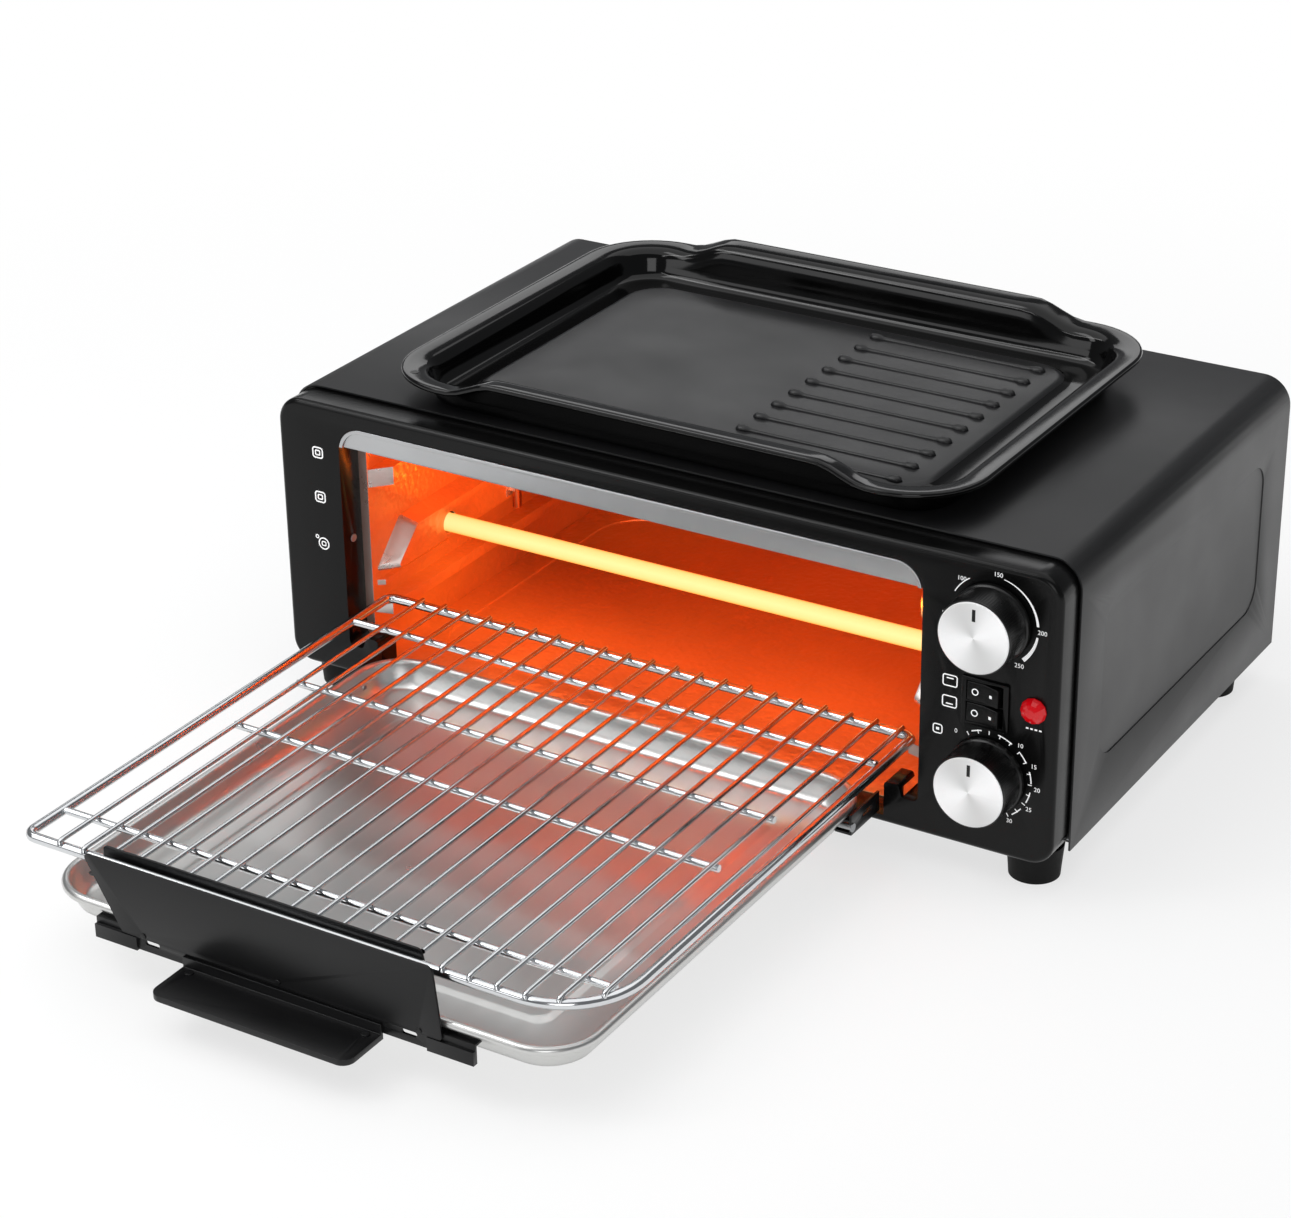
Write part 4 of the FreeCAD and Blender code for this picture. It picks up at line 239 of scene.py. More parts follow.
def makeSpunAluminium():
    # spun aluminium disc: rings turned on a lathe, so light spreads across them; a faint white emission
    # paints extra brightness on the face
    m, t, s, _ = newMaterial("spunAluminiumPaintedHighlights", Metallic=0.1, Emission_Color=srgb("#ffffff"),
                             Emission_Strength=0.06, Roughness=0.3, Anisotropic=0.75)
    tangent = wired(t, "ShaderNodeTangent", direction_type="UV_MAP", uv_map="turned")
    t.links.new(tangent, s.inputs["Tangent"])
    uv = wired(t, "ShaderNodeUVMap", uv_map="turned")
    # painted highlights: two pale and two grey sectors in the base colour, standing in for light fanning out
    # over turned rings
    across = wired(t, "ShaderNodeSeparateXYZ", {0: uv})
    angle = wired(t, "ShaderNodeMath", {0: across, 1: 4 * math.pi, 2: 0.6}, operation="MULTIPLY_ADD")
    wave = wired(t, "ShaderNodeMath", {0: angle}, operation="SINE")
    span = wired(t, "ShaderNodeMapRange", {"Value": wave, "From Min": -1.0, "From Max": 1.0})
    tone = addNode(t, "ShaderNodeMix", {0: span, 6: srgb("#d2d2d1"), 7: srgb("#ffffff")}, data_type="RGBA")
    t.links.new(tone.outputs[2], s.inputs["Base Color"])
    rings = wired(t, "ShaderNodeMapping", {"Vector": uv, "Scale": (0.0, 60.0, 0.0)})
    noise = wired(t, "ShaderNodeTexNoise", {"Vector": rings, "Scale": 1.0, "Detail": 3.0})
    bumped(t, s, noise, 0.08, 0.0001)
    finish["aluminium"] = m


def makeHotQuartz():
    # fused quartz with the hot coil behind it: pale yellow in the middle, amber at the rim
    m, t, s, _ = newMaterial("quartzGlowing", Base_Color=srgb("#c88a3c"), Roughness=0.3,
                             Emission_Strength=1.0)
    edge = addNode(t, "ShaderNodeLayerWeight", {"Blend": 0.35})
    tone = ramped(t, edge.outputs["Facing"], (0.0, "#fff2a6"), (0.8, "#ffae38"))
    t.links.new(tone, s.inputs["Emission Color"])
    finish["quartzHot"] = m


for make in (makePaints, makeMetals, makeMouldedStuffs, makeCavitySheet, makeSpunAluminium, makeHotQuartz):
    make()
report("materials")


# Mesh helpers
def placed(name, mesh, body, slotName, replaced=(), smooth=35, material=None):
    # the material is the slot's own, unless another look is given
    piece = bpy.data.objects.new(name, mesh)
    bpy.context.scene.collection.objects.link(piece)
    mesh.materials.clear()
    mesh.materials.append(material or finish[slotName])
    if smooth:
        mesh.shade_smooth()
        mesh.set_sharp_from_angle(angle=math.radians(smooth))
    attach(piece, body)
    if replaced:
        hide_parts(*replaced)
    return piece


def baked(piece):
    # the evaluated shape as a plain mesh; the helper object goes
    bpy.context.scene.collection.objects.link(piece)
    graph = bpy.context.evaluated_depsgraph_get()
    mesh = bpy.data.meshes.new_from_object(piece.evaluated_get(graph))
    bpy.data.objects.remove(piece)
    return mesh


def reworked(mesh, work):
    shape = bmesh.new()
    shape.from_mesh(mesh)
    work(shape)
    shape.to_mesh(mesh)
    shape.free()
    return mesh


def refined(node, body, slotName, round=0.5, steps=2, angle=32, material=None):
    # the solid's own mesh with its flat faces joined and its edges rounded as a press or mould leaves them
    def flattened(shape):
        bmesh.ops.remove_doubles(shape, verts=shape.verts, dist=2e-6)
        bmesh.ops.dissolve_limit(shape, angle_limit=math.radians(0.6), verts=shape.verts, edges=shape.edges)

    mesh = reworked(nodes[node].data.copy(), flattened)
    mesh.shade_smooth()
    helper = bpy.data.objects.new("helper", mesh)
    bevel = helper.modifiers.new("edges", "BEVEL")
    bevel.width = round * mm
    bevel.segments = steps
    bevel.limit_method = "ANGLE"
    bevel.angle_limit = math.radians(angle)
    bevel.use_clamp_overlap = True
    bevel.harden_normals = True
    return placed(camel(node), baked(helper), body, slotName, (node,), 40, material)


def roundedLoop(x0, x1, y0, y1, radii, cornerSteps=12, sideSteps=(40, 24)):
    # radii: front left, front right, back right, back left; the loop runs anticlockwise
    corners = [(x0, y0, 1, 1, 180), (x1, y0, -1, 1, 270), (x1, y1, -1, -1, 0), (x0, y1, 1, -1, 90)]
    arcs = []
    for (x, y, sx, sy, start), r in zip(corners, radii):
        turns = [math.radians(start + 90 * k / cornerSteps) for k in range(cornerSteps + 1)]
        arcs.append([(x + sx * r + r * math.cos(turn), y + sy * r + r * math.sin(turn)) for turn in turns])
    points = []
    for index, arc in enumerate(arcs):
        (ax, ay), (bx, by) = arc[-1], arcs[(index + 1) % 4][0]
        steps = sideSteps[index % 2]
        points += arc + [(ax + (bx - ax) * k / steps, ay + (by - ay) * k / steps) for k in range(1, steps)]
    return points


def lofted(rings):
    # rings of the same number of points, joined by quads; the last one is closed
    vertices = [point for ring in rings for point in ring]
    count = len(rings[0])
    faces = []
    for index in range(len(rings) - 1):
        for k in range(count):
            a = index * count + k
            b = index * count + (k + 1) % count
            faces.append((a, b, b + count, a + count))
    faces.append(tuple((len(rings) - 1) * count + k for k in range(count)))
    mesh = bpy.data.meshes.new("lofted")
    mesh.from_pydata([tuple(v) for v in vertices], [], faces)
    mesh.validate()
    return mesh


def turned(profile, centre, axis="y", steps=64, uvName=None):
    # a lathe shape: profile is (radius, along) in millimetres from the centre
    vertices, faces, uvs = [], [], []
    for k in range(steps):
        turn = 2 * math.pi * k / steps
        c, s = math.cos(turn), math.sin(turn)
        for r, a in profile:
            offset = Vector((r * c, a, r * s)) if axis == "y" else Vector((r * c, r * s, a))
            vertices.append(tuple(centre + offset * mm))
    n = len(profile)
    for k in range(steps):
        for i in range(n - 1):
            a, b = k * n + i, ((k + 1) % steps) * n + i
            faces.append((a, b, b + 1, a + 1))
            uvs.append([(k, i), (k + 1, i), (k + 1, i + 1), (k, i + 1)])
    mesh = bpy.data.meshes.new("turned")
    mesh.from_pydata(vertices, [], faces)
    if uvName:
        layer = mesh.uv_layers.new(name=uvName)
        for face, corners in zip(mesh.polygons, uvs):
            for loop, (u, v) in zip(face.loop_indices, corners):
                layer.data[loop].uv = (u / steps, profile[v][0] / 40)

    def cleaned(shape):
        bmesh.ops.remove_doubles(shape, verts=shape.verts, dist=1e-6)
        bmesh.ops.recalc_face_normals(shape, faces=shape.faces)
    return reworked(mesh, cleaned)


def tubeAlong(points, radius, closed=False, sides=10):
    curve = bpy.data.curves.new("path", "CURVE")
    curve.dimensions = "3D"
    curve.bevel_depth = radius * mm
    curve.bevel_resolution = max(1, sides // 4)
    curve.use_fill_caps = not closed
    spline = curve.splines.new("POLY")
    spline.points.add(len(points) - 1)
    for p, place in zip(spline.points, points):
        p.co = (*place, 1)
    spline.use_cyclic_u = closed
    return baked(bpy.data.objects.new("helper", curve))


def joined(meshes):
    shape = bmesh.new()
    for mesh in meshes:
        shape.from_mesh(mesh)
    result = bpy.data.meshes.new("joined")
    shape.to_mesh(result)
    shape.free()
    return result


# Geometry node trees
def newTree(name, **sockets):
    # a number is an input with that default; a word names the kind of an input without one
    tree = bpy.data.node_groups.new(name, "GeometryNodeTree")
    tree.interface.new_socket("Geometry", in_out="INPUT", socket_type="NodeSocketGeometry")
    for label, value in {**sockets, "Material": "Material"}.items():
        kind = value if isinstance(value, str) else {int: "Int", float: "Float"}[type(value)]
        socket = tree.interface.new_socket(label, in_out="INPUT", socket_type="NodeSocket" + kind)
        if kind != value:
            socket.default_value = value
    tree.interface.new_socket("Geometry", in_out="OUTPUT", socket_type="NodeSocketGeometry")
    return tree, addNode(tree, "NodeGroupInput").outputs


def copied(tree, points, instance, **more):
    return wired(tree, "GeometryNodeInstanceOnPoints", {"Points": points, "Instance": instance, **more})


def swept(tree, path, sides, radius, **more):
    # a round bar along the path
    ring = wired(tree, "GeometryNodeCurvePrimitiveCircle", {"Resolution": sides, "Radius": radius})
    return wired(tree, "GeometryNodeCurveToMesh", {"Curve": path, "Profile Curve": ring, **more})


def ended(tree, given, geometry):
    # real geometry in the given material
    real = wired(tree, "GeometryNodeRealizeInstances", {"Geometry": geometry})
    dressed = wired(tree, "GeometryNodeSetMaterial", {"Geometry": real, "Material": given["Material"]})
    addNode(tree, "NodeGroupOutput", {0: dressed})
    return tree


def rowStart(name, axis, **sockets):
    # a tree for a row of straight pieces: its row of points and the line that each piece follows
    tree, given = newTree(name, First="Vector", Step="Vector", **sockets)
    points = wired(tree, "GeometryNodeMeshLine", {"Count": given["Count"], "Start Location": given["First"],
                                                  "Offset": given["Step"]}, mode="OFFSET")
    reach = wired(tree, "ShaderNodeCombineXYZ", {axis: given["Length"]})
    return tree, given, points, wired(tree, "GeometryNodeCurvePrimitiveLine", {"End": reach})


def wireRowTree():
    # straight wires side by side, each along +Y from its own start point
    tree, given, points, line = rowStart("wireRow", "Y", Count=5, Length=0.2, Radius=0.001)
    bar = swept(tree, line, 10, given["Radius"], **{"Fill Caps": True})
    return ended(tree, given, copied(tree, points, bar))


def ridgeRowTree():
    # low ridges along +X with round knobs near their ends, side by side on the pan's floor
    tree, given, points, line = rowStart("ridgeRow", "X", Count=10, Length=0.09, Radius=0.003, Flatten=0.8)
    fine = wired(tree, "GeometryNodeResampleCurve", {"Curve": line, "Count": 64})
    along = wired(tree, "GeometryNodeSplineParameter")
    taper = addNode(tree, "ShaderNodeFloatCurve", {"Value": along})
    shape = taper.mapping.curves[0]
    shape.points[0].location = (0.0, 0.12)
    shape.points[1].location = (1.0, 0.12)
    for place in ((0.025, 0.95), (0.05, 1.0), (0.09, 0.62), (0.91, 0.62), (0.95, 1.0), (0.975, 0.95)):
        shape.points.new(*place)
    taper.mapping.update()
    width = taper.outputs[0]
    wide = wired(tree, "GeometryNodeSetCurveRadius", {"Curve": fine, "Radius": width})
    bar = swept(tree, wide, 14, given["Radius"], **{"Fill Caps": True, "Scale": width})
    squash = wired(tree, "ShaderNodeCombineXYZ", {"X": 1.0, "Y": 1.0, "Z": given["Flatten"]})
    return ended(tree, given, copied(tree, points, bar, Scale=squash))


def knurlTree():
    # fine ribs standing round a barrel whose axis is Y
    tree, given = newTree("knurl", Count=60, Centre="Vector", Radius=0.018, Length=0.01, Width=0.0006)
    ring = wired(tree, "GeometryNodeMeshCircle", {"Vertices": given["Count"], "Radius": given["Radius"]})
    stood = wired(tree, "GeometryNodeTransform", {"Geometry": ring, "Translation": given["Centre"],
                                                  "Rotation": (math.pi / 2, 0, 0)})
    size = wired(tree, "ShaderNodeCombineXYZ", {0: given["Width"], 1: given["Length"], 2: given["Width"]})
    rib = wired(tree, "GeometryNodeMeshCube", {"Size": size})
    place = wired(tree, "GeometryNodeInputPosition")
    away = wired(tree, "ShaderNodeVectorMath", {0: place, 1: given["Centre"]}, operation="SUBTRACT")
    face = wired(tree, "FunctionNodeAlignRotationToVector", {"Vector": away}, axis="Z", pivot_axis="Y")
    return ended(tree, given, copied(tree, stood, rib, Rotation=face))


def coilTree():
    # a wound heating wire along +X
    tree, given = newTree("coil", Turns=80.0, Start="Vector", Radius=0.0025, Length=0.3, Wire=0.0003)
    wound = wired(tree, "GeometryNodeCurveSpiral", {
        "Resolution": 12, "Rotations": given["Turns"], "Start Radius": given["Radius"],
        "End Radius": given["Radius"], "Height": given["Length"]})
    laid = wired(tree, "GeometryNodeTransform", {
        "Geometry": swept(tree, wound, 5, given["Wire"]), "Translation": given["Start"],
        "Rotation": (0, math.pi / 2, 0)})
    return ended(tree, given, laid)


def screwTree():
    # the same screw at every point
    tree, given = newTree("screws", Shape="Object")
    shape = addNode(tree, "GeometryNodeObjectInfo", {"Object": given["Shape"]}).outputs["Geometry"]
    return ended(tree, given, copied(tree, given["Geometry"], shape))


def grown(tree, base=None, **settings):
    # what the tree makes from its settings, and from the base where it needs one
    helper = bpy.data.objects.new("helper", base or bpy.data.meshes.new("empty"))
    modifier = helper.modifiers.new("grow", "NODES")
    modifier.node_group = tree
    sockets = {item.name: item.identifier for item in tree.interface.items_tree
               if item.item_type == "SOCKET" and item.in_out == "INPUT"}
    for label, value in settings.items():
        modifier[sockets[label]] = value
    return baked(helper)


rowOfWires = wireRowTree()
rowOfRidges = ridgeRowTree()
knurl = knurlTree()
woundCoil = coilTree()
sameScrew = screwTree()
report("geometry node trees")


# Body sheet metal and bezel
refined("front_bezel", "oven_body", "gloss_black", round=0.9, steps=3)
refined("outer_shell", "oven_body", "black_paint", round=0.35)
refined("bottom_plate", "oven_body", "zinc_steel", round=0.3)
refined("opening_trim", "oven_body", "stainless", round=0.3, material=finish["brushedStrip"])
# the cavity's sheets carry the heater's light as a painted orange glow
for name in ("cavity_left_wall", "cavity_right_wall"):
    wall = refined(name, "oven_body", "aluminised_steel", round=1.2, steps=3, angle=22)
    wall.data.materials.append(finish["sheetWithFaintPaintedGlow"])
    for face in wall.data.polygons:
        # pressed ends and flanges that look out of the opening take the copy with only a faint painted glow,
        # as if hardly lit by the tube
        if face.normal.y < -0.3:
            face.material_index = 1
for name in ("cavity_floor", "cavity_roof", "cavity_back_wall"):
    refined(name, "oven_body", "aluminised_steel", round=0.5)
refined("tube_brackets", "oven_body", "zinc_steel", round=0.2)
# the clip takes the sheet with a faint painted orange glow
refined("sensor_clip", "oven_body", "stainless", round=0.15, material=finish["sheetWithFaintPaintedGlow"])
report("body")


# Drip tray: drawn sheet with a wired rim, shallow walls and a plateau in the floor
trayShape = {
    "left": -160.0, "right": 128.0, "front": -272.0, "back": 1.0, "corner": 27.0,
    "under": 22.3, "beadHeight": 34.5, "bead": 2.3, "sheet": 0.7,
    "plateauInset": 36.3, "plateauRise": 1.2, "holeRadius": 2.5, "holeAt": (57.0, -257.0, 23.1),
}


def loopAt(shape, inset, z, corner=None):
    # the outline of a tray or pan, drawn in by inset; z is a level or a function of x
    radius = max(shape["corner"] - inset if corner is None else corner, 1.0)
    flat = roundedLoop(shape["left"] + inset, shape["right"] - inset, shape["front"] + inset,
                       shape["back"] - inset, (radius,) * 4)
    return [at(x, y, z(x) if callable(z) else z) for x, y in flat]


def makeTray():
    s = trayShape
    top, bead, under, t = s["beadHeight"], s["bead"], s["under"], s["sheet"]
    rings = []
    # rolled rim, from the tuck under the bead over the top and down into the pan
    for turn in range(-60, 181, 20):
        a = math.radians(turn)
        rings.append(loopAt(s, bead - bead * math.cos(a), top + bead * math.sin(a)))
    wall = bead * 2
    depth = top - under
    inner = [(wall + 0.2, top - 1.0), (wall + 1.4, top - depth * 0.3), (wall + 3.0, top - depth * 0.62),
             (wall + 4.6, under + t + 1.6), (wall + 6.0, under + t + 0.5), (wall + 8.0, under + t + 0.1),
             (wall + 11.0, under + t), (s["plateauInset"] - 2.0, under + t),
             (s["plateauInset"] - 0.8, under + t + 0.25),
             (s["plateauInset"] + 0.8, under + t + s["plateauRise"] - 0.2),
             (s["plateauInset"] + 2.4, under + t + s["plateauRise"])]

    def wallRing(inset, z):
        return loopAt(s, inset, z, max(s["corner"] - inset if inset < 20 else 8.0, 6.0))

    rings += [wallRing(inset, z) for inset, z in inner]
    # underside: the same walls seen from below
    below = [(bead * 1.6, top - bead * 0.8), (bead + 1.6, top - depth * 0.35), (bead + 4.6, under + 1.6),
             (bead + 6.4, under + 0.3), (bead + 9.0, under), (s["plateauInset"] - 2.0, under),
             (s["plateauInset"] + 1.2, under + s["plateauRise"])]
    return joined([lofted(rings), lofted([wallRing(inset, z)[::-1] for inset, z in below])])


def makeShadeDisc(radius, x, y, z):
    # a hole through sheet shows as a dark disc a hair above it: painted shade standing in for the dark seen
    # through the opening
    return turned([(0, 0), (radius, 0), (radius, 0.05), (0, 0.05)], at(x, y, z), "z", 28)


placed("tray", makeTray(), "drawer", "stainless", ("tray",), smooth=50)
# the tray's hanging hole as a dark disc of painted shade
placed("trayHole", makeShadeDisc(trayShape["holeRadius"], *trayShape["holeAt"]), "drawer", "black_plastic")
refined("tray_clips", "drawer", "black_paint", round=0.25, material=finish["handlePaint"])
report("tray")


# Rack: chromed wire, welded, with the long wires' front ends hooked over the frame
rackShape = {
    "left": -172.0, "right": 140.0, "front": -268.0, "back": 22.0, "height": 56.0, "wire": 2.5,
    "leftCorner": 6.0, "rightCorner": 38.0, "backCorner": 5.0, "thin": 1.25, "count": 21, "first": -147.7,
    "pitch": 13.97, "channel": (-126.0, 50.0), "channelBack": -260.8, "channelClear": 2.5,
}


def makeRackFrame():
    s = rackShape
    w = s["wire"]
    flat = roundedLoop(s["left"] + w, s["right"] - w, s["front"] + w, s["back"] - w,
                       (s["leftCorner"], s["rightCorner"], s["backCorner"], s["backCorner"]), 14, (2, 2))
    return tubeAlong([at(x, y, s["height"]) for x, y in flat], w, closed=True, sides=16)


def makeRackWires():
    s = rackShape
    w = s["wire"]
    z = s["height"] + w + s["thin"]
    middle = (s["left"] + s["right"]) / 2
    half = (s["right"] - s["left"]) / 2 - w
    meshes = []
    behind = []
    for index in range(s["count"]):
        x = s["first"] + index * s["pitch"]
        if s["channel"][0] - s["channelClear"] < x < s["channel"][1] + s["channelClear"]:
            behind.append(x)
            continue
        start = s["front"] + w
        corner = s["leftCorner"] if x < middle else s["rightCorner"]
        inset = abs(x - middle) - (half - corner)
        if inset > 0:
            start += corner - math.sqrt(corner ** 2 - inset ** 2)
        # the end curls down round the frame wire
        path = [at(x, start - 1.9, z - 2.2), at(x, start - 1.5, z - 0.9), at(x, start - 0.5, z - 0.15),
                at(x, start + 1.2, z), at(x, s["back"] - w, z)]
        meshes.append(tubeAlong(path, s["thin"], sides=12))
    # the wires that stop behind the handle's channel are all alike
    meshes.append(grown(rowOfWires, Count=len(behind), First=at(behind[0], s["channelBack"], z),
                        Step=Vector((s["pitch"] * mm, 0, 0)), Radius=s["thin"] * mm,
                        Length=(s["back"] - w - s["channelBack"]) * mm, Material=finish["chrome_wire"]))
    return joined(meshes)


placed("rackFrame", makeRackFrame(), "rack", "chrome_wire", ("rack_frame",), smooth=60)
placed("rackWires", makeRackWires(), "rack", "chrome_wire", ("rack_wires",), smooth=60)
report("rack")


# Handle: painted plate, channel behind it, strip and pull
refined("handle_plate", "drawer", "black_paint", round=0.35, steps=3, material=finish["handlePaint"])
refined("rack_channel", "drawer", "black_paint", round=0.4, material=finish["handlePaint"])
refined("handle_strip", "drawer", "black_paint", round=0.25, material=finish["handlePaint"])
refined("handle_grip", "drawer", "black_paint", round=0.4, steps=3, material=finish["handlePaint"])
report("handle")


# Griddle pan: pressed sheet, enamelled, with a sprayed cooking surface
panShape = {
    "left": -166.0, "right": 160.0, "front": 8.0, "back": 252.0, "corner": 40.0, "under": 168.8,
    "riseStart": -121.0, "riseEnd": 114.0, "riseRun": 28.0, "rise": 8.0, "hole": (-148.0, 21.5, 186.1),
    # inset from the rim's edge, height above the underside, share of the side rise
    "profile": [(1.2, 14.2, 1), (0.4, 14.8, 1), (0.0, 16.2, 1), (0.5, 17.3, 1), (1.6, 17.5, 1),
                (4.0, 17.3, 1), (8.0, 17.0, 1), (10.6, 16.5, 1), (12.6, 15.4, 1), (14.0, 13.6, 0.92),
                (15.0, 11.0, 0.72), (15.9, 8.0, 0.45), (16.8, 5.0, 0.2), (18.0, 2.8, 0.06), (20.0, 1.5, 0),
                (23.0, 1.2, 0), (31.0, 1.3, 0), (32.8, 1.9, 0), (34.4, 3.2, 0), (35.8, 4.3, 0),
                (37.6, 4.8, 0), (52.0, 4.8, 0)],
    "below": [(1.2, 14.2, 1), (2.2, 15.6, 1), (9.0, 15.4, 1), (12.0, 14.0, 1), (13.6, 11.0, 0.85),
              (14.8, 7.0, 0.5), (15.8, 4.0, 0.2), (17.2, 1.2, 0), (19.0, 0.1, 0), (22.0, 0.0, 0),
              (32.0, 0.1, 0), (33.6, 1.2, 0), (35.4, 3.0, 0), (37.6, 3.6, 0), (52.0, 3.6, 0)],
    "holeRadius": 2.2, "plateau": 4.8, "surfaceInset": 33.4,
    "ribs": {"count": 10, "pitch": 17.5, "backY": 205.0, "left": 13.0, "right": 114.0, "height": 2.4,
             "half": 2.6},
}


def riseAt(x):
    # how far the long sides' rims stand up at x
    s = panShape

    def ease(v):
        v = max(0.0, min(1.0, v))
        return v * v * (3 - 2 * v)
    return s["rise"] * min(ease((x - s["riseStart"]) / s["riseRun"]), ease((s["riseEnd"] - x) / s["riseRun"]))


def panRing(inset, height, share):
    s = panShape
    corner = s["corner"] - inset if inset <= 20 else 22.0 - (inset - 20) * 0.2
    return loopAt(s, inset, lambda x: s["under"] + height + riseAt(x) * share, max(corner, 16.0))


def makeRibs():
    s = panShape
    r = s["ribs"]
    sunk = 0.2
    return grown(rowOfRidges, Count=r["count"], Step=Vector((0, -r["pitch"] * mm, 0)), Radius=r["half"] * mm,
                 First=at(r["left"], r["backY"], s["under"] + s["plateau"] - sunk),
                 Length=(r["right"] - r["left"]) * mm, Flatten=(r["height"] + sunk) / r["half"],
                 Material=finish["nonStick"])


def makeGriddle():
    s = panShape
    pan = joined([lofted([panRing(*row) for row in s["profile"]]),
                  lofted([panRing(*row)[::-1] for row in s["below"]])])
    placed("griddlePan", pan, "griddle", "black_enamel", ("griddle_pan",), smooth=60)
    pan.materials.append(finish["nonStick"])
    # the cooking surface: everything raised in the middle of the floor
    low = at(s["left"] + s["surfaceInset"], s["front"] + s["surfaceInset"], s["under"] + 2.6)
    top = at(s["right"] - s["surfaceInset"], s["back"] - s["surfaceInset"], 0)
    for face in pan.polygons:
        c = face.center
        if c.z > low.z and low.x < c.x < top.x and low.y < c.y < top.y and face.normal.z > 0.2:
            face.material_index = 1
    placed("griddleRibs", makeRibs(), "griddle", "black_enamel", smooth=60, material=finish["nonStick"])
    # the pan's hole as a dark disc of painted shade
    placed("griddleHole", makeShadeDisc(s["holeRadius"], *s["hole"]), "griddle", "black_enamel",
           material=finish["black_plastic"])


makeGriddle()
report("griddle")


# Rotary knobs: a moulded barrel with fine grip ribs and a spun aluminium face
knobShape = {
    "x": 186.0, "places": {"temperature": 138.5, "timer": 59.0}, "radius": 18.5, "skirt": 0.8, "back": -1.0,
    "front": -20.4, "faceRadius": 17.8, "face": -21.0, "ribs": 84, "ribWidth": 0.6, "markLow": 8.5,
    "markHigh": 14.5, "markWidth": 1.7,
}


def makeKnob(label, z, body):
    s = knobShape
    x, r, front, back, rim, f = [s[key] for key in ("x", "radius", "front", "back", "faceRadius", "face")]
    barrel = [(0, front + 0.6), (rim - 0.05, front + 0.6), (rim, front + 0.1), (r - 0.5, front),
              (r - 0.12, front + 0.15), (r, front + 0.7), (r + 0.1, back - 3.4), (r + 0.55, back - 3.0),
              (r + s["skirt"], back - 2.6), (r + s["skirt"], back - 0.4), (r + s["skirt"] - 0.3, back),
              (r - 2.0, back), (r - 2.0, front + 3.0), (0, front + 3.0)]
    mesh = turned(barrel, at(x, 0, z), "y", 120)
    ribs = grown(knurl, Count=s["ribs"], Centre=at(x, (front + back - 2.6) / 2, z),
                 Radius=(r - s["ribWidth"] * 0.28) * mm, Length=(back - 3.4 - front - 1.4) * mm,
                 Width=s["ribWidth"] * mm, Material=finish["black_plastic"])
    placed(label + "Knob", joined([mesh, ribs]), body, "black_plastic", (label + "_knob",), smooth=30)
    disc = [(0, f + 0.12), (3.0, f + 0.10), (rim - 1.6, f), (rim - 0.5, f + 0.02), (rim - 0.05, f + 0.35),
            (rim - 0.05, f + 1.15), (0, f + 1.15)]
    placed(label + "Face", turned(disc, at(x, 0, z), "y", 128, uvName="turned"), body, "aluminium",
           (label + "_knob_cap",), smooth=30)
    mark = stripOn([(x, z + s["markLow"]), (x, z + s["markHigh"])], s["markWidth"], f - 0.03)
    placed(label + "Mark", mark, body, "black_plastic")


def stripOn(points, width, y, widthEnd=None):
    # a flat band on a plane facing the front, along points (x, z), possibly tapering
    vertices, faces = [], []
    thick = 0.06
    last = width if widthEnd is None else widthEnd
    count = len(points)
    for i, (x, z) in enumerate(points):
        a = points[max(i - 1, 0)]
        b = points[min(i + 1, count - 1)]
        dx, dz = b[0] - a[0], b[1] - a[1]
        length = math.hypot(dx, dz)
        half = (width + (last - width) * i / (count - 1)) / 2
        nx, nz = -dz / length * half, dx / length * half
        vertices += [at(x + nx, y, z + nz), at(x - nx, y, z - nz), at(x + nx, y + thick, z + nz),
                     at(x - nx, y + thick, z - nz)]
    for i in range(count - 1):
        k = i * 4
        faces += [(k, k + 1, k + 5, k + 4), (k, k + 4, k + 6, k + 2), (k + 1, k + 3, k + 7, k + 5),
                  (k + 2, k + 6, k + 7, k + 3)]
    k = (count - 1) * 4
    faces += [(0, 2, 3, 1), (k, k + 1, k + 3, k + 2)]
    mesh = bpy.data.meshes.new("strip")
    mesh.from_pydata([tuple(v) for v in vertices], [], faces)
    return reworked(mesh, lambda shape: bmesh.ops.recalc_face_normals(shape, faces=shape.faces))


def arcPoints(cx, cz, radius, start, end, steps=24):
    # clock angles in degrees, 0 at the top, growing clockwise as seen from the front
    points = []
    for k in range(steps + 1):
        turn = math.radians(start + (end - start) * k / steps)
        points.append((cx + radius * math.sin(turn), cz + radius * math.cos(turn)))
    return points


for label, z in knobShape["places"].items():
    makeKnob(label, z, label + "_dial")
report("knobs")


# Heat selector rockers, lamp
refined("switch_housing", "oven_body", "black_plastic", round=0.3, material=finish["gloss_black"])
rockerShape = {"x": 183.5, "pivotY": 1.0, "half": 8.5, "proud": 3.8, "tilt": 8.0,
               "levels": {"upper": 100.8, "lower": 89.8}}


def onRocker(share, z, mesh):
    # moves a flat mark from the front plane onto a half of the rocker; share runs from -1 (left end) to 1
    s = rockerShape
    tilt = math.radians(s["tilt"])
    u = share * s["half"]
    v = -s["proud"] + s["half"] * math.tan(tilt) * (1 - abs(share)) - 0.04
    x = s["x"] + u * math.cos(tilt) + v * math.sin(tilt)
    y = s["pivotY"] + v * math.cos(tilt) - u * math.sin(tilt)
    turn = Matrix.Rotation(0 if share < 0 else -2 * tilt, 4, "Z")
    mesh.transform(Matrix.Translation(at(x, y, z)) @ turn @ Matrix.Translation(-at(0, 0, 0)))
    return mesh


def makeRocker(label, z):
    body = label + "_rocker"
    refined(label + "_heat_rocker", body, "gloss_black", round=0.5, steps=4, angle=20)
    ring = onRocker(-0.5, z, stripOn(arcPoints(0, 0, 1.5, 0, 360), 0.55, 0))
    dot = onRocker(0.5, z, stripOn([(-0.75, 0), (0.75, 0)], 1.5, 0))
    placed(label + "RockerMarks", joined([ring, dot]), body, "gloss_black", smooth=0, material=finish["ink"])


for label, z in rockerShape["levels"].items():
    makeRocker(label, z)

lampShape = {"x": 208.0, "z": 98.0, "radius": 6.5, "shank": 5.0, "proud": 4.4, "facets": 12}


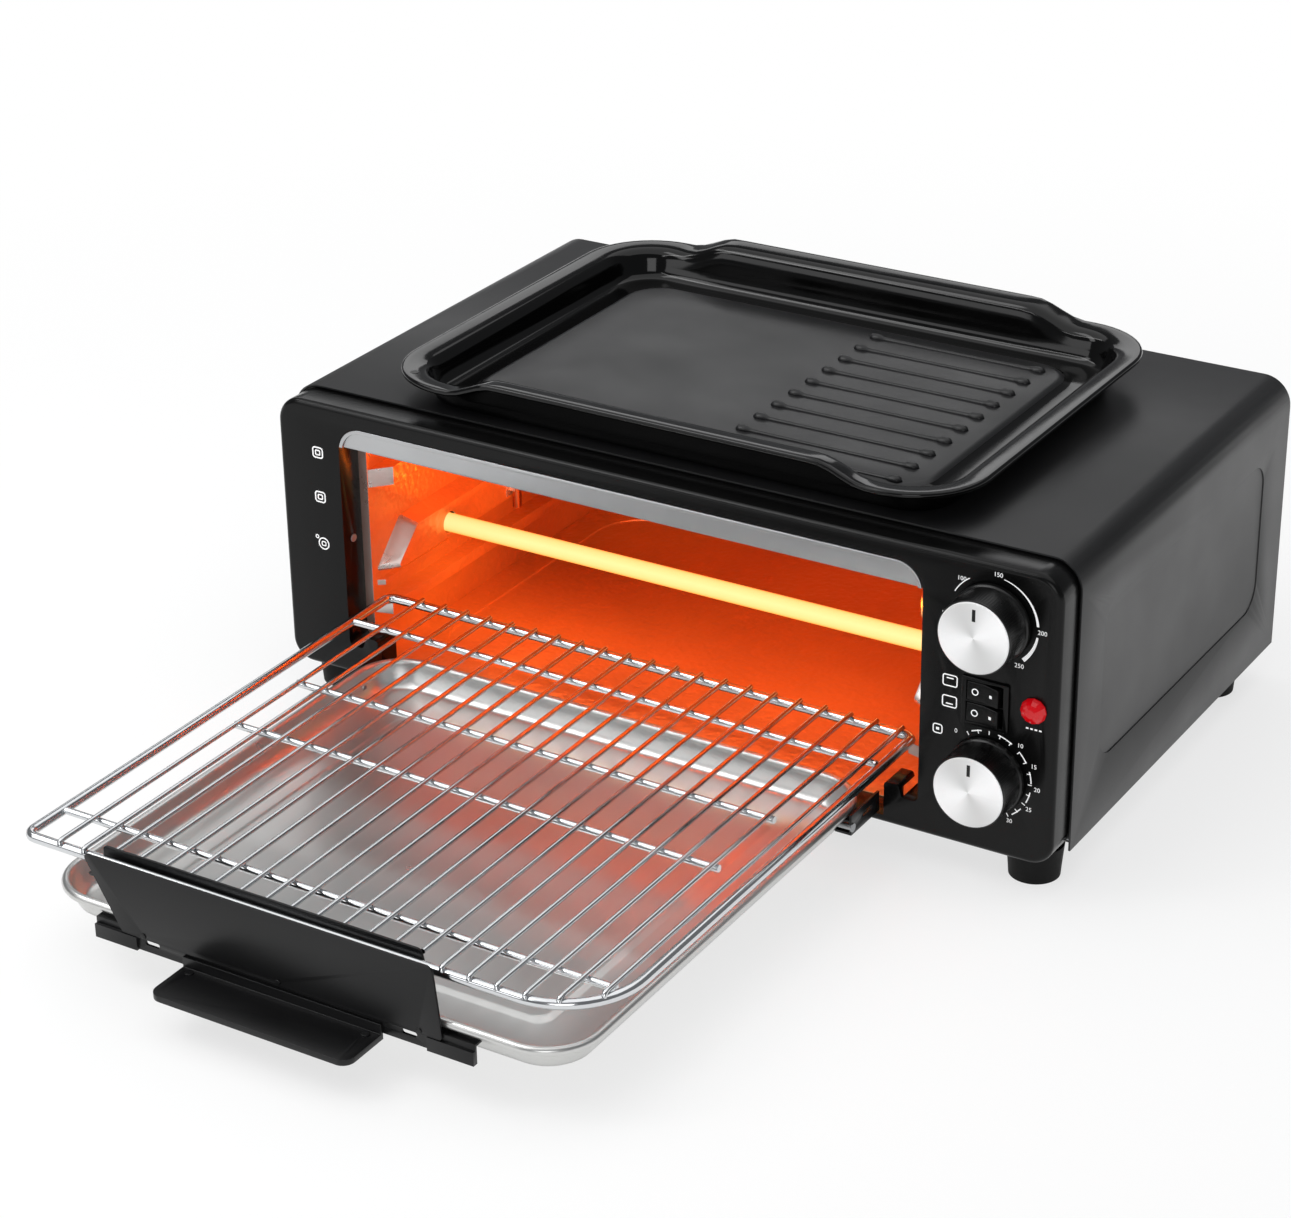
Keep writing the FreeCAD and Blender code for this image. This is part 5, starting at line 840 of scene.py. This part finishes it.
def makeLamp():
    s = lampShape
    r, tip, shank = s["radius"], -s["proud"], s["shank"]
    profile = [(0, tip), (r * 0.35, tip + 0.12), (r * 0.66, tip + 0.9), (r * 0.9, tip + 2.3), (r, tip + 3.6),
               (r, -0.02), (shank, 0.0), (shank, 8.9), (0, 8.9)]
    return turned(profile, at(s["x"], 0, s["z"]), "y", s["facets"])


placed("lampLens", makeLamp(), "oven_body", "red_lens", ("lamp_lens",), smooth=0)
report("switches and lamp")


# Small repeated hardware: one modelled fastener per kind, set at each place by the tree
def islands(node):
    # the boxes of a node's separate solids
    shape = bmesh.new()
    shape.from_mesh(nodes[node].data)
    bmesh.ops.remove_doubles(shape, verts=shape.verts, dist=2e-6)
    left = set(shape.verts)
    boxes = []
    while left:
        queue = [left.pop()]
        found = list(queue)
        while queue:
            for edge in queue.pop().link_edges:
                for vertex in edge.verts:
                    if vertex in left:
                        left.discard(vertex)
                        queue.append(vertex)
                        found.append(vertex)
        places = [nodes[node].matrix_world @ vertex.co for vertex in found]
        boxes.append([Vector(pick(p[i] for p in places) for i in range(3)) for pick in (min, max)])
    shape.free()
    return sorted(boxes, key=lambda box: box[0][:])


def fastener(head, height, shank, length, cross):
    # a head on +Z with a cross recess, or a plain dome, and its shank below
    r, h = head * mm, height * mm
    shape = bmesh.new()
    count = 28

    def ring(radius, z):
        turns = [2 * math.pi * i / count for i in range(count)]
        return [shape.verts.new((radius * math.cos(turn), radius * math.sin(turn), z)) for turn in turns]

    dome = [(1.0, 0.0), (1.0, 0.45), (0.93, 0.78), (0.78, 0.96), (0.6, 1.0)]
    rings = [ring(r * k, h * z) for k, z in dome]
    for level in (0.0, -length * mm):
        rings.insert(0, ring(shank * mm, level))
    for low, top in zip(rings, rings[1:]):
        for i in range(count):
            shape.faces.new((low[i], low[(i + 1) % count], top[(i + 1) % count], top[i]))
    shape.faces.new(rings[0][::-1])
    if cross:
        # a quarter of the cross, turned three times
        a, b = r * 0.12, r * 0.46
        plan = [(b, a), (a, a), (a, b)]
        for _ in range(3):
            plan += [(-y, x) for x, y in plan[-3:]]
        lip = [shape.verts.new((x, y, h)) for x, y in plan]
        pit = [shape.verts.new((x * 0.8, y * 0.8, h * 0.35)) for x, y in plan]
        edges = [shape.edges.new((lip[i], lip[(i + 1) % 12])) for i in range(12)]
        edges += [shape.edges.get((rings[-1][i], rings[-1][(i + 1) % count])) for i in range(count)]
        bmesh.ops.triangle_fill(shape, use_beauty=True, edges=edges)
        for i in range(12):
            shape.faces.new((lip[i], lip[(i + 1) % 12], pit[(i + 1) % 12], pit[i]))
        shape.faces.new(pit)
    else:
        shape.faces.new(rings[-1])
    bmesh.ops.recalc_face_normals(shape, faces=shape.faces)
    mesh = bpy.data.meshes.new("fastener")
    shape.to_mesh(mesh)
    shape.free()
    return mesh


hardware = {
    # slot, body, axis and sign of the head, head radius and height, shank radius, cross recess
    "back_screws": ("zinc_steel", "oven_body", "y", 1, 3.5, 2.0, 2.0, True),
    "bezel_screws": ("zinc_steel", "oven_body", "y", 1, 3.5, 2.0, 2.0, True),
    "control_screws": ("zinc_steel", "oven_body", "y", -1, 2.75, 1.0, 1.5, True),
    "feet_screws": ("zinc_steel", "oven_body", "z", -1, 3.5, 2.0, 2.0, True),
    "jamb_pin": ("zinc_steel", "oven_body", "x", 1, 2.15, 0.8, 1.2, False),
    "grip_rivets": ("black_paint", "drawer", "z", 1, 2.15, 0.6, 1.6, False),
    "strip_rivets": ("black_paint", "drawer", "y", -1, 1.38, 0.4, 1.0, False),
}


def makeHardware(node, slotName, body, axis, sign, head, height, shank, cross):
    boxes = islands(node)
    along = "xyz".index(axis)
    longest = max((most - least)[along] for least, most in boxes)
    mesh = fastener(head, height, shank, longest / mm - height, cross)
    turn = {"x": Matrix.Rotation(math.pi / 2, 4, "Y"), "y": Matrix.Rotation(-math.pi / 2, 4, "X"),
            "z": Matrix.Identity(4)}[axis]
    flip = Matrix.Rotation(math.pi, 4, "X" if axis != "x" else "Y")
    mesh.transform(turn if sign > 0 else (flip @ turn if axis != "z" else flip))
    places = []
    for least, most in boxes:
        place = (least + most) / 2
        place[along] = most[along] - height * mm if sign > 0 else least[along] + height * mm
        places.append(tuple(place))
    base = bpy.data.meshes.new("places")
    base.from_pydata(places, [], [])
    shape = bpy.data.objects.new("shape", mesh)
    result = grown(sameScrew, base, Shape=shape, Material=finish[slotName])
    bpy.data.objects.remove(shape)
    painted = finish["handlePaint"] if slotName == "black_paint" else None
    placed(camel(node), result, body, slotName, (node,), smooth=32, material=painted)


for node, kind in hardware.items():
    makeHardware(node, *kind)
report("hardware")


# Heating coils: wound wire in each quartz tube, with a straight pin out of each end
coilShape = {"radius": 2.4, "wire": 0.35, "turns": 110.0, "left": -192.0, "right": 160.0, "z": 79.0,
             "ys": (72.0, 190.0), "pinRadius": 1.0, "pinLength": 6.5, "pinStarts": (-197.0, 158.5)}


def makeCoils():
    s = coilShape
    meshes = []
    for y in s["ys"]:
        meshes.append(grown(woundCoil, Turns=s["turns"], Start=at(s["left"], y, s["z"]),
                            Radius=s["radius"] * mm, Length=(s["right"] - s["left"]) * mm,
                            Wire=s["wire"] * mm, Material=finish["coil_wire"]))
        for x in s["pinStarts"]:
            pin = [at(x, y, s["z"]), at(x + s["pinLength"], y, s["z"])]
            meshes.append(tubeAlong(pin, s["pinRadius"], sides=12))
    return joined(meshes)


placed("heatingCoils", makeCoils(), "oven_body", "coil_wire", ("heating_coils",), smooth=50)
report("coils")


# Parts whose made shape already is the real one: they keep it and get their material
plainFinish = {
    "back_panel": "black_paint", "cord_gland": "black_plastic", "feet": "rubber", "heat_shield": "zinc_steel",
    "rear_heating_tube": "quartz",
    "tube_ceramic_caps": "ceramic", "lower_heater": "coil_wire", "lower_heater_clips": "zinc_steel",
    "sensor_bulb": "copper", "thermostat_body": "zinc_steel", "thermostat_shaft": "aluminium",
    "timer_body": "zinc_steel", "timer_bell": "zinc_steel", "timer_shaft": "aluminium",
    "switch_terminals": "copper", "lamp_holder": "black_plastic", "terminal_block": "ceramic",
    "clip_rivets": "zinc_steel", "rack_cross_wires": "chrome_wire", "front_heating_tube": "quartzHot",
}
for name, material in plainFinish.items():
    solid = nodes[name]
    solid.data.materials.clear()
    solid.data.materials.append(finish[material])
report("carried over parts")


# Printed marks on the control panel and the left post, in white ink, with plain numbers only
printShape = {
    "y": -0.07, "dialX": 186.0, "numberHeight": 2.3,
    # arcs: start and end by the clock, first and last width; the numbers stand on a flattened ring
    "temperature": {
        "z": 138.5, "radius": 22.4, "numbersAt": (24.6, 23.6),
        "arcs": [(-62, -34, 0.5, 0.5), (12, 84, 0.35, 1.2), (98, 136, 1.0, 2.0)],
        "numbers": [("50", -95), ("100", -42), ("150", 4), ("200", 91), ("250", 146)]},
    "timer": {
        "z": 59.0, "radius": 22.2, "numbersAt": (25.4, 24.6),
        "arcs": [(start, end, 0.6, 0.6) for start, end in (
            (-24, -10), (12, 32), (46, 60), (72, 88), (100, 116), (128, 144))],
        "numbers": [("0", -42), ("5", 2), ("10", 39), ("15", 66), ("20", 94), ("25", 122), ("30", 152)]},
    # the timer's small strokes: inner and outer radius, width, and their clock angles
    "strokes": (20.6, 22.6, 0.45, range(-30, 166, 15)),
    # rounded boxes of the heat selector, the lamp and the left post: x, z, width, height, corner, line
    "boxes": [(165.2, 102.6, 7.2, 5.6, 1.0, 0.6), (165.2, 91.7, 7.2, 5.6, 1.0, 0.6),
              (159.5, 76.0, 4.6, 4.6, 1.2, 0.6), (-195.5, 140.0, 6.0, 5.6, 1.4, 0.75),
              (-195.5, 140.0, 2.7, 2.4, 0.5, 0.7), (-195.5, 115.2, 6.0, 5.6, 1.4, 0.75),
              (-195.5, 115.2, 2.7, 2.4, 0.5, 0.7), (-195.0, 88.9, 2.4, 2.2, 0.5, 0.6)],
    # bars in those boxes and a row of four under the lamp: left end, z, length, width
    "bars": [(163.4, 103.8, 3.6, 0.6), (163.4, 90.5, 3.6, 0.6), (158.7, 76.0, 1.6, 1.4),
             (204.4, 88.4, 1.3, 0.8), (206.6, 88.4, 1.3, 0.8), (208.8, 88.4, 1.3, 0.8),
             (211.0, 88.4, 1.3, 0.8)],
    # rings of the sign on the left post: x, z, radius, line, steps
    "rings": [(-195.0, 88.9, 3.1, 0.7, 24), (-199.0, 92.2, 0.9, 0.6, 10)],
}


def numeral(text, x, z, height, y):
    curve = bpy.data.curves.new("numeral", "FONT")
    curve.body = text
    curve.size = height * mm * 1.38
    curve.align_x = "CENTER"
    curve.align_y = "CENTER"
    curve.extrude = 0.02 * mm
    curve.resolution_u = 3
    mesh = baked(bpy.data.objects.new("helper", curve))
    mesh.transform(Matrix.Translation(at(x, y, z)) @ Matrix.Rotation(math.pi / 2, 4, "X"))
    return mesh


def roundedFrame(x, z, width, height, corner, line, y):
    w, h = width / 2 - corner, height / 2 - corner
    points = []
    for cx, cz, start in ((x + w, z + h, 0), (x + w, z - h, 90), (x - w, z - h, 180), (x - w, z + h, 270)):
        points += arcPoints(cx, cz, corner, start, start + 90, 6)
    return stripOn(points + [points[0]], line, y)


def makePrints():
    s = printShape
    x, y = s["dialX"], s["y"]
    meshes = []
    for dial in (s["temperature"], s["timer"]):
        across, up = dial["numbersAt"]
        for start, end, first, last in dial["arcs"]:
            meshes.append(stripOn(arcPoints(x, dial["z"], dial["radius"], start, end), first, y, last))
        for text, turn in dial["numbers"]:
            a = math.radians(turn)
            meshes.append(numeral(text, x + across * math.sin(a), dial["z"] + up * math.cos(a),
                                  s["numberHeight"], y))
    near, far, line, turns = s["strokes"]
    for turn in turns:
        ends = [arcPoints(x, s["timer"]["z"], radius, turn, turn, 1)[0] for radius in (near, far)]
        meshes.append(stripOn(ends, line, y))
    meshes += [roundedFrame(*box, y) for box in s["boxes"]]
    for left, z, length, line in s["bars"]:
        meshes.append(stripOn([(left, z), (left + length, z)], line, y))
    for cx, cz, radius, line, steps in s["rings"]:
        meshes.append(stripOn(arcPoints(cx, cz, radius, 0, 360, steps), line, y))
    return joined(meshes)


placed("printedMarks", makePrints(), "oven_body", "gloss_black", smooth=0, material=finish["ink"])
report("prints")


# Studio: pale floor and background, a wide soft light overhead, a long window on the left, a weak fill
# on the right, and narrow cards whose reflections draw lines and bands on the dark parts
studio = {
    "floor": "#f1f1f0", "background": "#ffffff", "daylight": "#f4f6fa",
    # strength of the light from all round, and the one that reflections see
    "world": 0.42, "reflected": 0.2,
    # the hot tube's light, one strip thrown up and one down: lift over the tube, tilt, watts
    "tubeAt": (-20, 72, 79), "glowSize": (0.26, 0.012), "glowColour": "#ff7220",
    "tubeGlow": [("glowUp", 8, math.radians(150), 0.6), ("glowDown", -8, math.radians(35), 0.28)],
    # share of plain white mixed into the paper where it is seen: near the object, far away, over which reach
    "lift": (0.68, 1.0), "liftReach": (0.35, 1.1),
    "lamps": [
        # place, looks at, size across, size along, watts
        ("overhead", (-0.1, 0.1, 1.5), (0.0, 0.0, 0.1), 2.4, 2.2, 18.0),
        ("window", (-1.1, -0.95, 1.7), (0.0, 0.0, 0.1), 0.5, 1.6, 9.0),
        ("frontFill", (0.9, -1.9, 0.8), (0.0, 0.0, 0.08), 0.9, 0.9, 6.5),
        ("edgeStrip", (-0.76, -0.70, 1.22), (0.0, -0.1, 0.15), 1.7, 0.12, 4.0),
        ("lowCard", (-0.95, -1.6, 0.72), (0.0, 0.0, 0.15), 0.9, 0.5, 2.6),
        ("backCard", (-0.95, 1.5, 0.92), (0.0, 0.0, 0.15), 1.6, 0.36, 2.6),
    ],
}


def addLamp(name, place, turn, across, along, watts):
    lamp = bpy.data.lights.new(name, "AREA")
    lamp.shape = "RECTANGLE"
    lamp.size = across
    lamp.size_y = along
    lamp.energy = watts
    piece = bpy.data.objects.new(name, lamp)
    piece.location = place
    piece.rotation_euler = turn
    bpy.context.scene.collection.objects.link(piece)
    return lamp


def makeSurroundings():
    # white where the camera looks past the object, a soft even light for everything else
    scene = bpy.context.scene
    scene.view_settings.view_transform = "Standard"
    world = bpy.data.worlds.new("studio")
    scene.world = world
    world.use_nodes = True
    tree = world.node_tree
    tree.nodes.clear()
    path = addNode(tree, "ShaderNodeLightPath").outputs
    seen = wired(tree, "ShaderNodeMath", {0: path["Is Camera Ray"], 1: path["Is Transmission Ray"]},
                 operation="MAXIMUM")
    bright, even, dim = [
        wired(tree, "ShaderNodeBackground", {"Color": srgb(studio[colour]), "Strength": strength})
        for colour, strength in (("background", 1.0), ("daylight", studio["world"]),
                                 ("daylight", studio["reflected"]))]
    soft = wired(tree, "ShaderNodeMixShader", {0: path["Is Glossy Ray"], 1: even, 2: dim})
    mix = wired(tree, "ShaderNodeMixShader", {0: seen, 1: soft, 2: bright})
    addNode(tree, "ShaderNodeOutputWorld", {"Surface": mix})


def makeFloor():
    # seamless paper: matt, faint tooth, lifted towards white where the camera sees it
    paper, t, s, p = newMaterial("studioPaper", Base_Color=srgb(studio["floor"]), Roughness=0.9)
    grain(t, s, p, 2.0, 0.05)
    bpy.ops.mesh.primitive_plane_add(size=30, location=(0, 0, 0))
    floor = bpy.context.object
    floor.name = "floor"
    floor.data.materials.append(paper)
    away = addNode(t, "ShaderNodeVectorMath", {0: p}, operation="LENGTH")
    (near, far), (least, most) = studio["liftReach"], studio["lift"]
    reach = wired(t, "ShaderNodeMapRange", {"Value": away.outputs["Value"], "From Min": near, "From Max": far,
                                            "To Min": least, "To Max": most}, interpolation_type="SMOOTHSTEP")
    path = addNode(t, "ShaderNodeLightPath").outputs
    either = wired(t, "ShaderNodeMath", {0: path["Is Camera Ray"], 1: path["Is Glossy Ray"]},
                   operation="MAXIMUM")
    share = wired(t, "ShaderNodeMath", {0: reach, 1: either}, operation="MULTIPLY")
    white = wired(t, "ShaderNodeEmission", {"Color": srgb(studio["background"]), "Strength": 1.0})
    both = wired(t, "ShaderNodeMixShader", {0: share, 1: s.outputs[0], 2: white})
    output = next(node for node in t.nodes if node.bl_idname == "ShaderNodeOutputMaterial")
    t.links.new(both, output.inputs["Surface"])


def makeLamps():
    for name, place, aim, across, along, watts in studio["lamps"]:
        turn = (Vector(aim) - Vector(place)).to_track_quat("-Z", "Y").to_euler()
        addLamp(name, place, turn, across, along, watts)
    x, y, z = studio["tubeAt"]
    for name, lift, tilt, watts in studio["tubeGlow"]:
        lamp = addLamp(name, at(x, y, z + lift), (tilt, 0, 0), *studio["glowSize"], watts)
        lamp.color = srgb(studio["glowColour"])[:3]


# the photograph's viewpoint, solved from its straight edges; the lens is a little wider and shifted so that
# the whole body stays in the frame
view = {"angles": (31.932, 26.148, -0.891), "target": (-3.094, 0, 98.202), "distance": 1.596817, "lens": 91.3,
        "shift": 0.004}


def makeCamera():
    azimuth, elevation, roll = [math.radians(angle) for angle in view["angles"]]
    back = Vector((math.sin(azimuth) * math.cos(elevation), -math.cos(azimuth) * math.cos(elevation),
                   math.sin(elevation)))
    level = Vector((math.cos(azimuth), math.sin(azimuth), 0))
    upright = back.cross(level)
    right = level * math.cos(roll) + upright * math.sin(roll)
    up = upright * math.cos(roll) - level * math.sin(roll)
    lens = bpy.data.cameras.new("camera")
    lens.lens = view["lens"]
    lens.shift_x = view["shift"]
    lens.sensor_width = 36
    lens.sensor_fit = "HORIZONTAL"
    lens.clip_start = 0.05
    lens.clip_end = 60
    camera = bpy.data.objects.new("camera", lens)
    place = at(*view["target"]) + back * view["distance"]
    camera.matrix_world = Matrix.Translation(place) @ Matrix((right, up, back)).transposed().to_4x4()
    bpy.context.scene.collection.objects.link(camera)
    bpy.context.scene.camera = camera


makeSurroundings()
makeFloor()
makeLamps()
makeCamera()
report("studio")
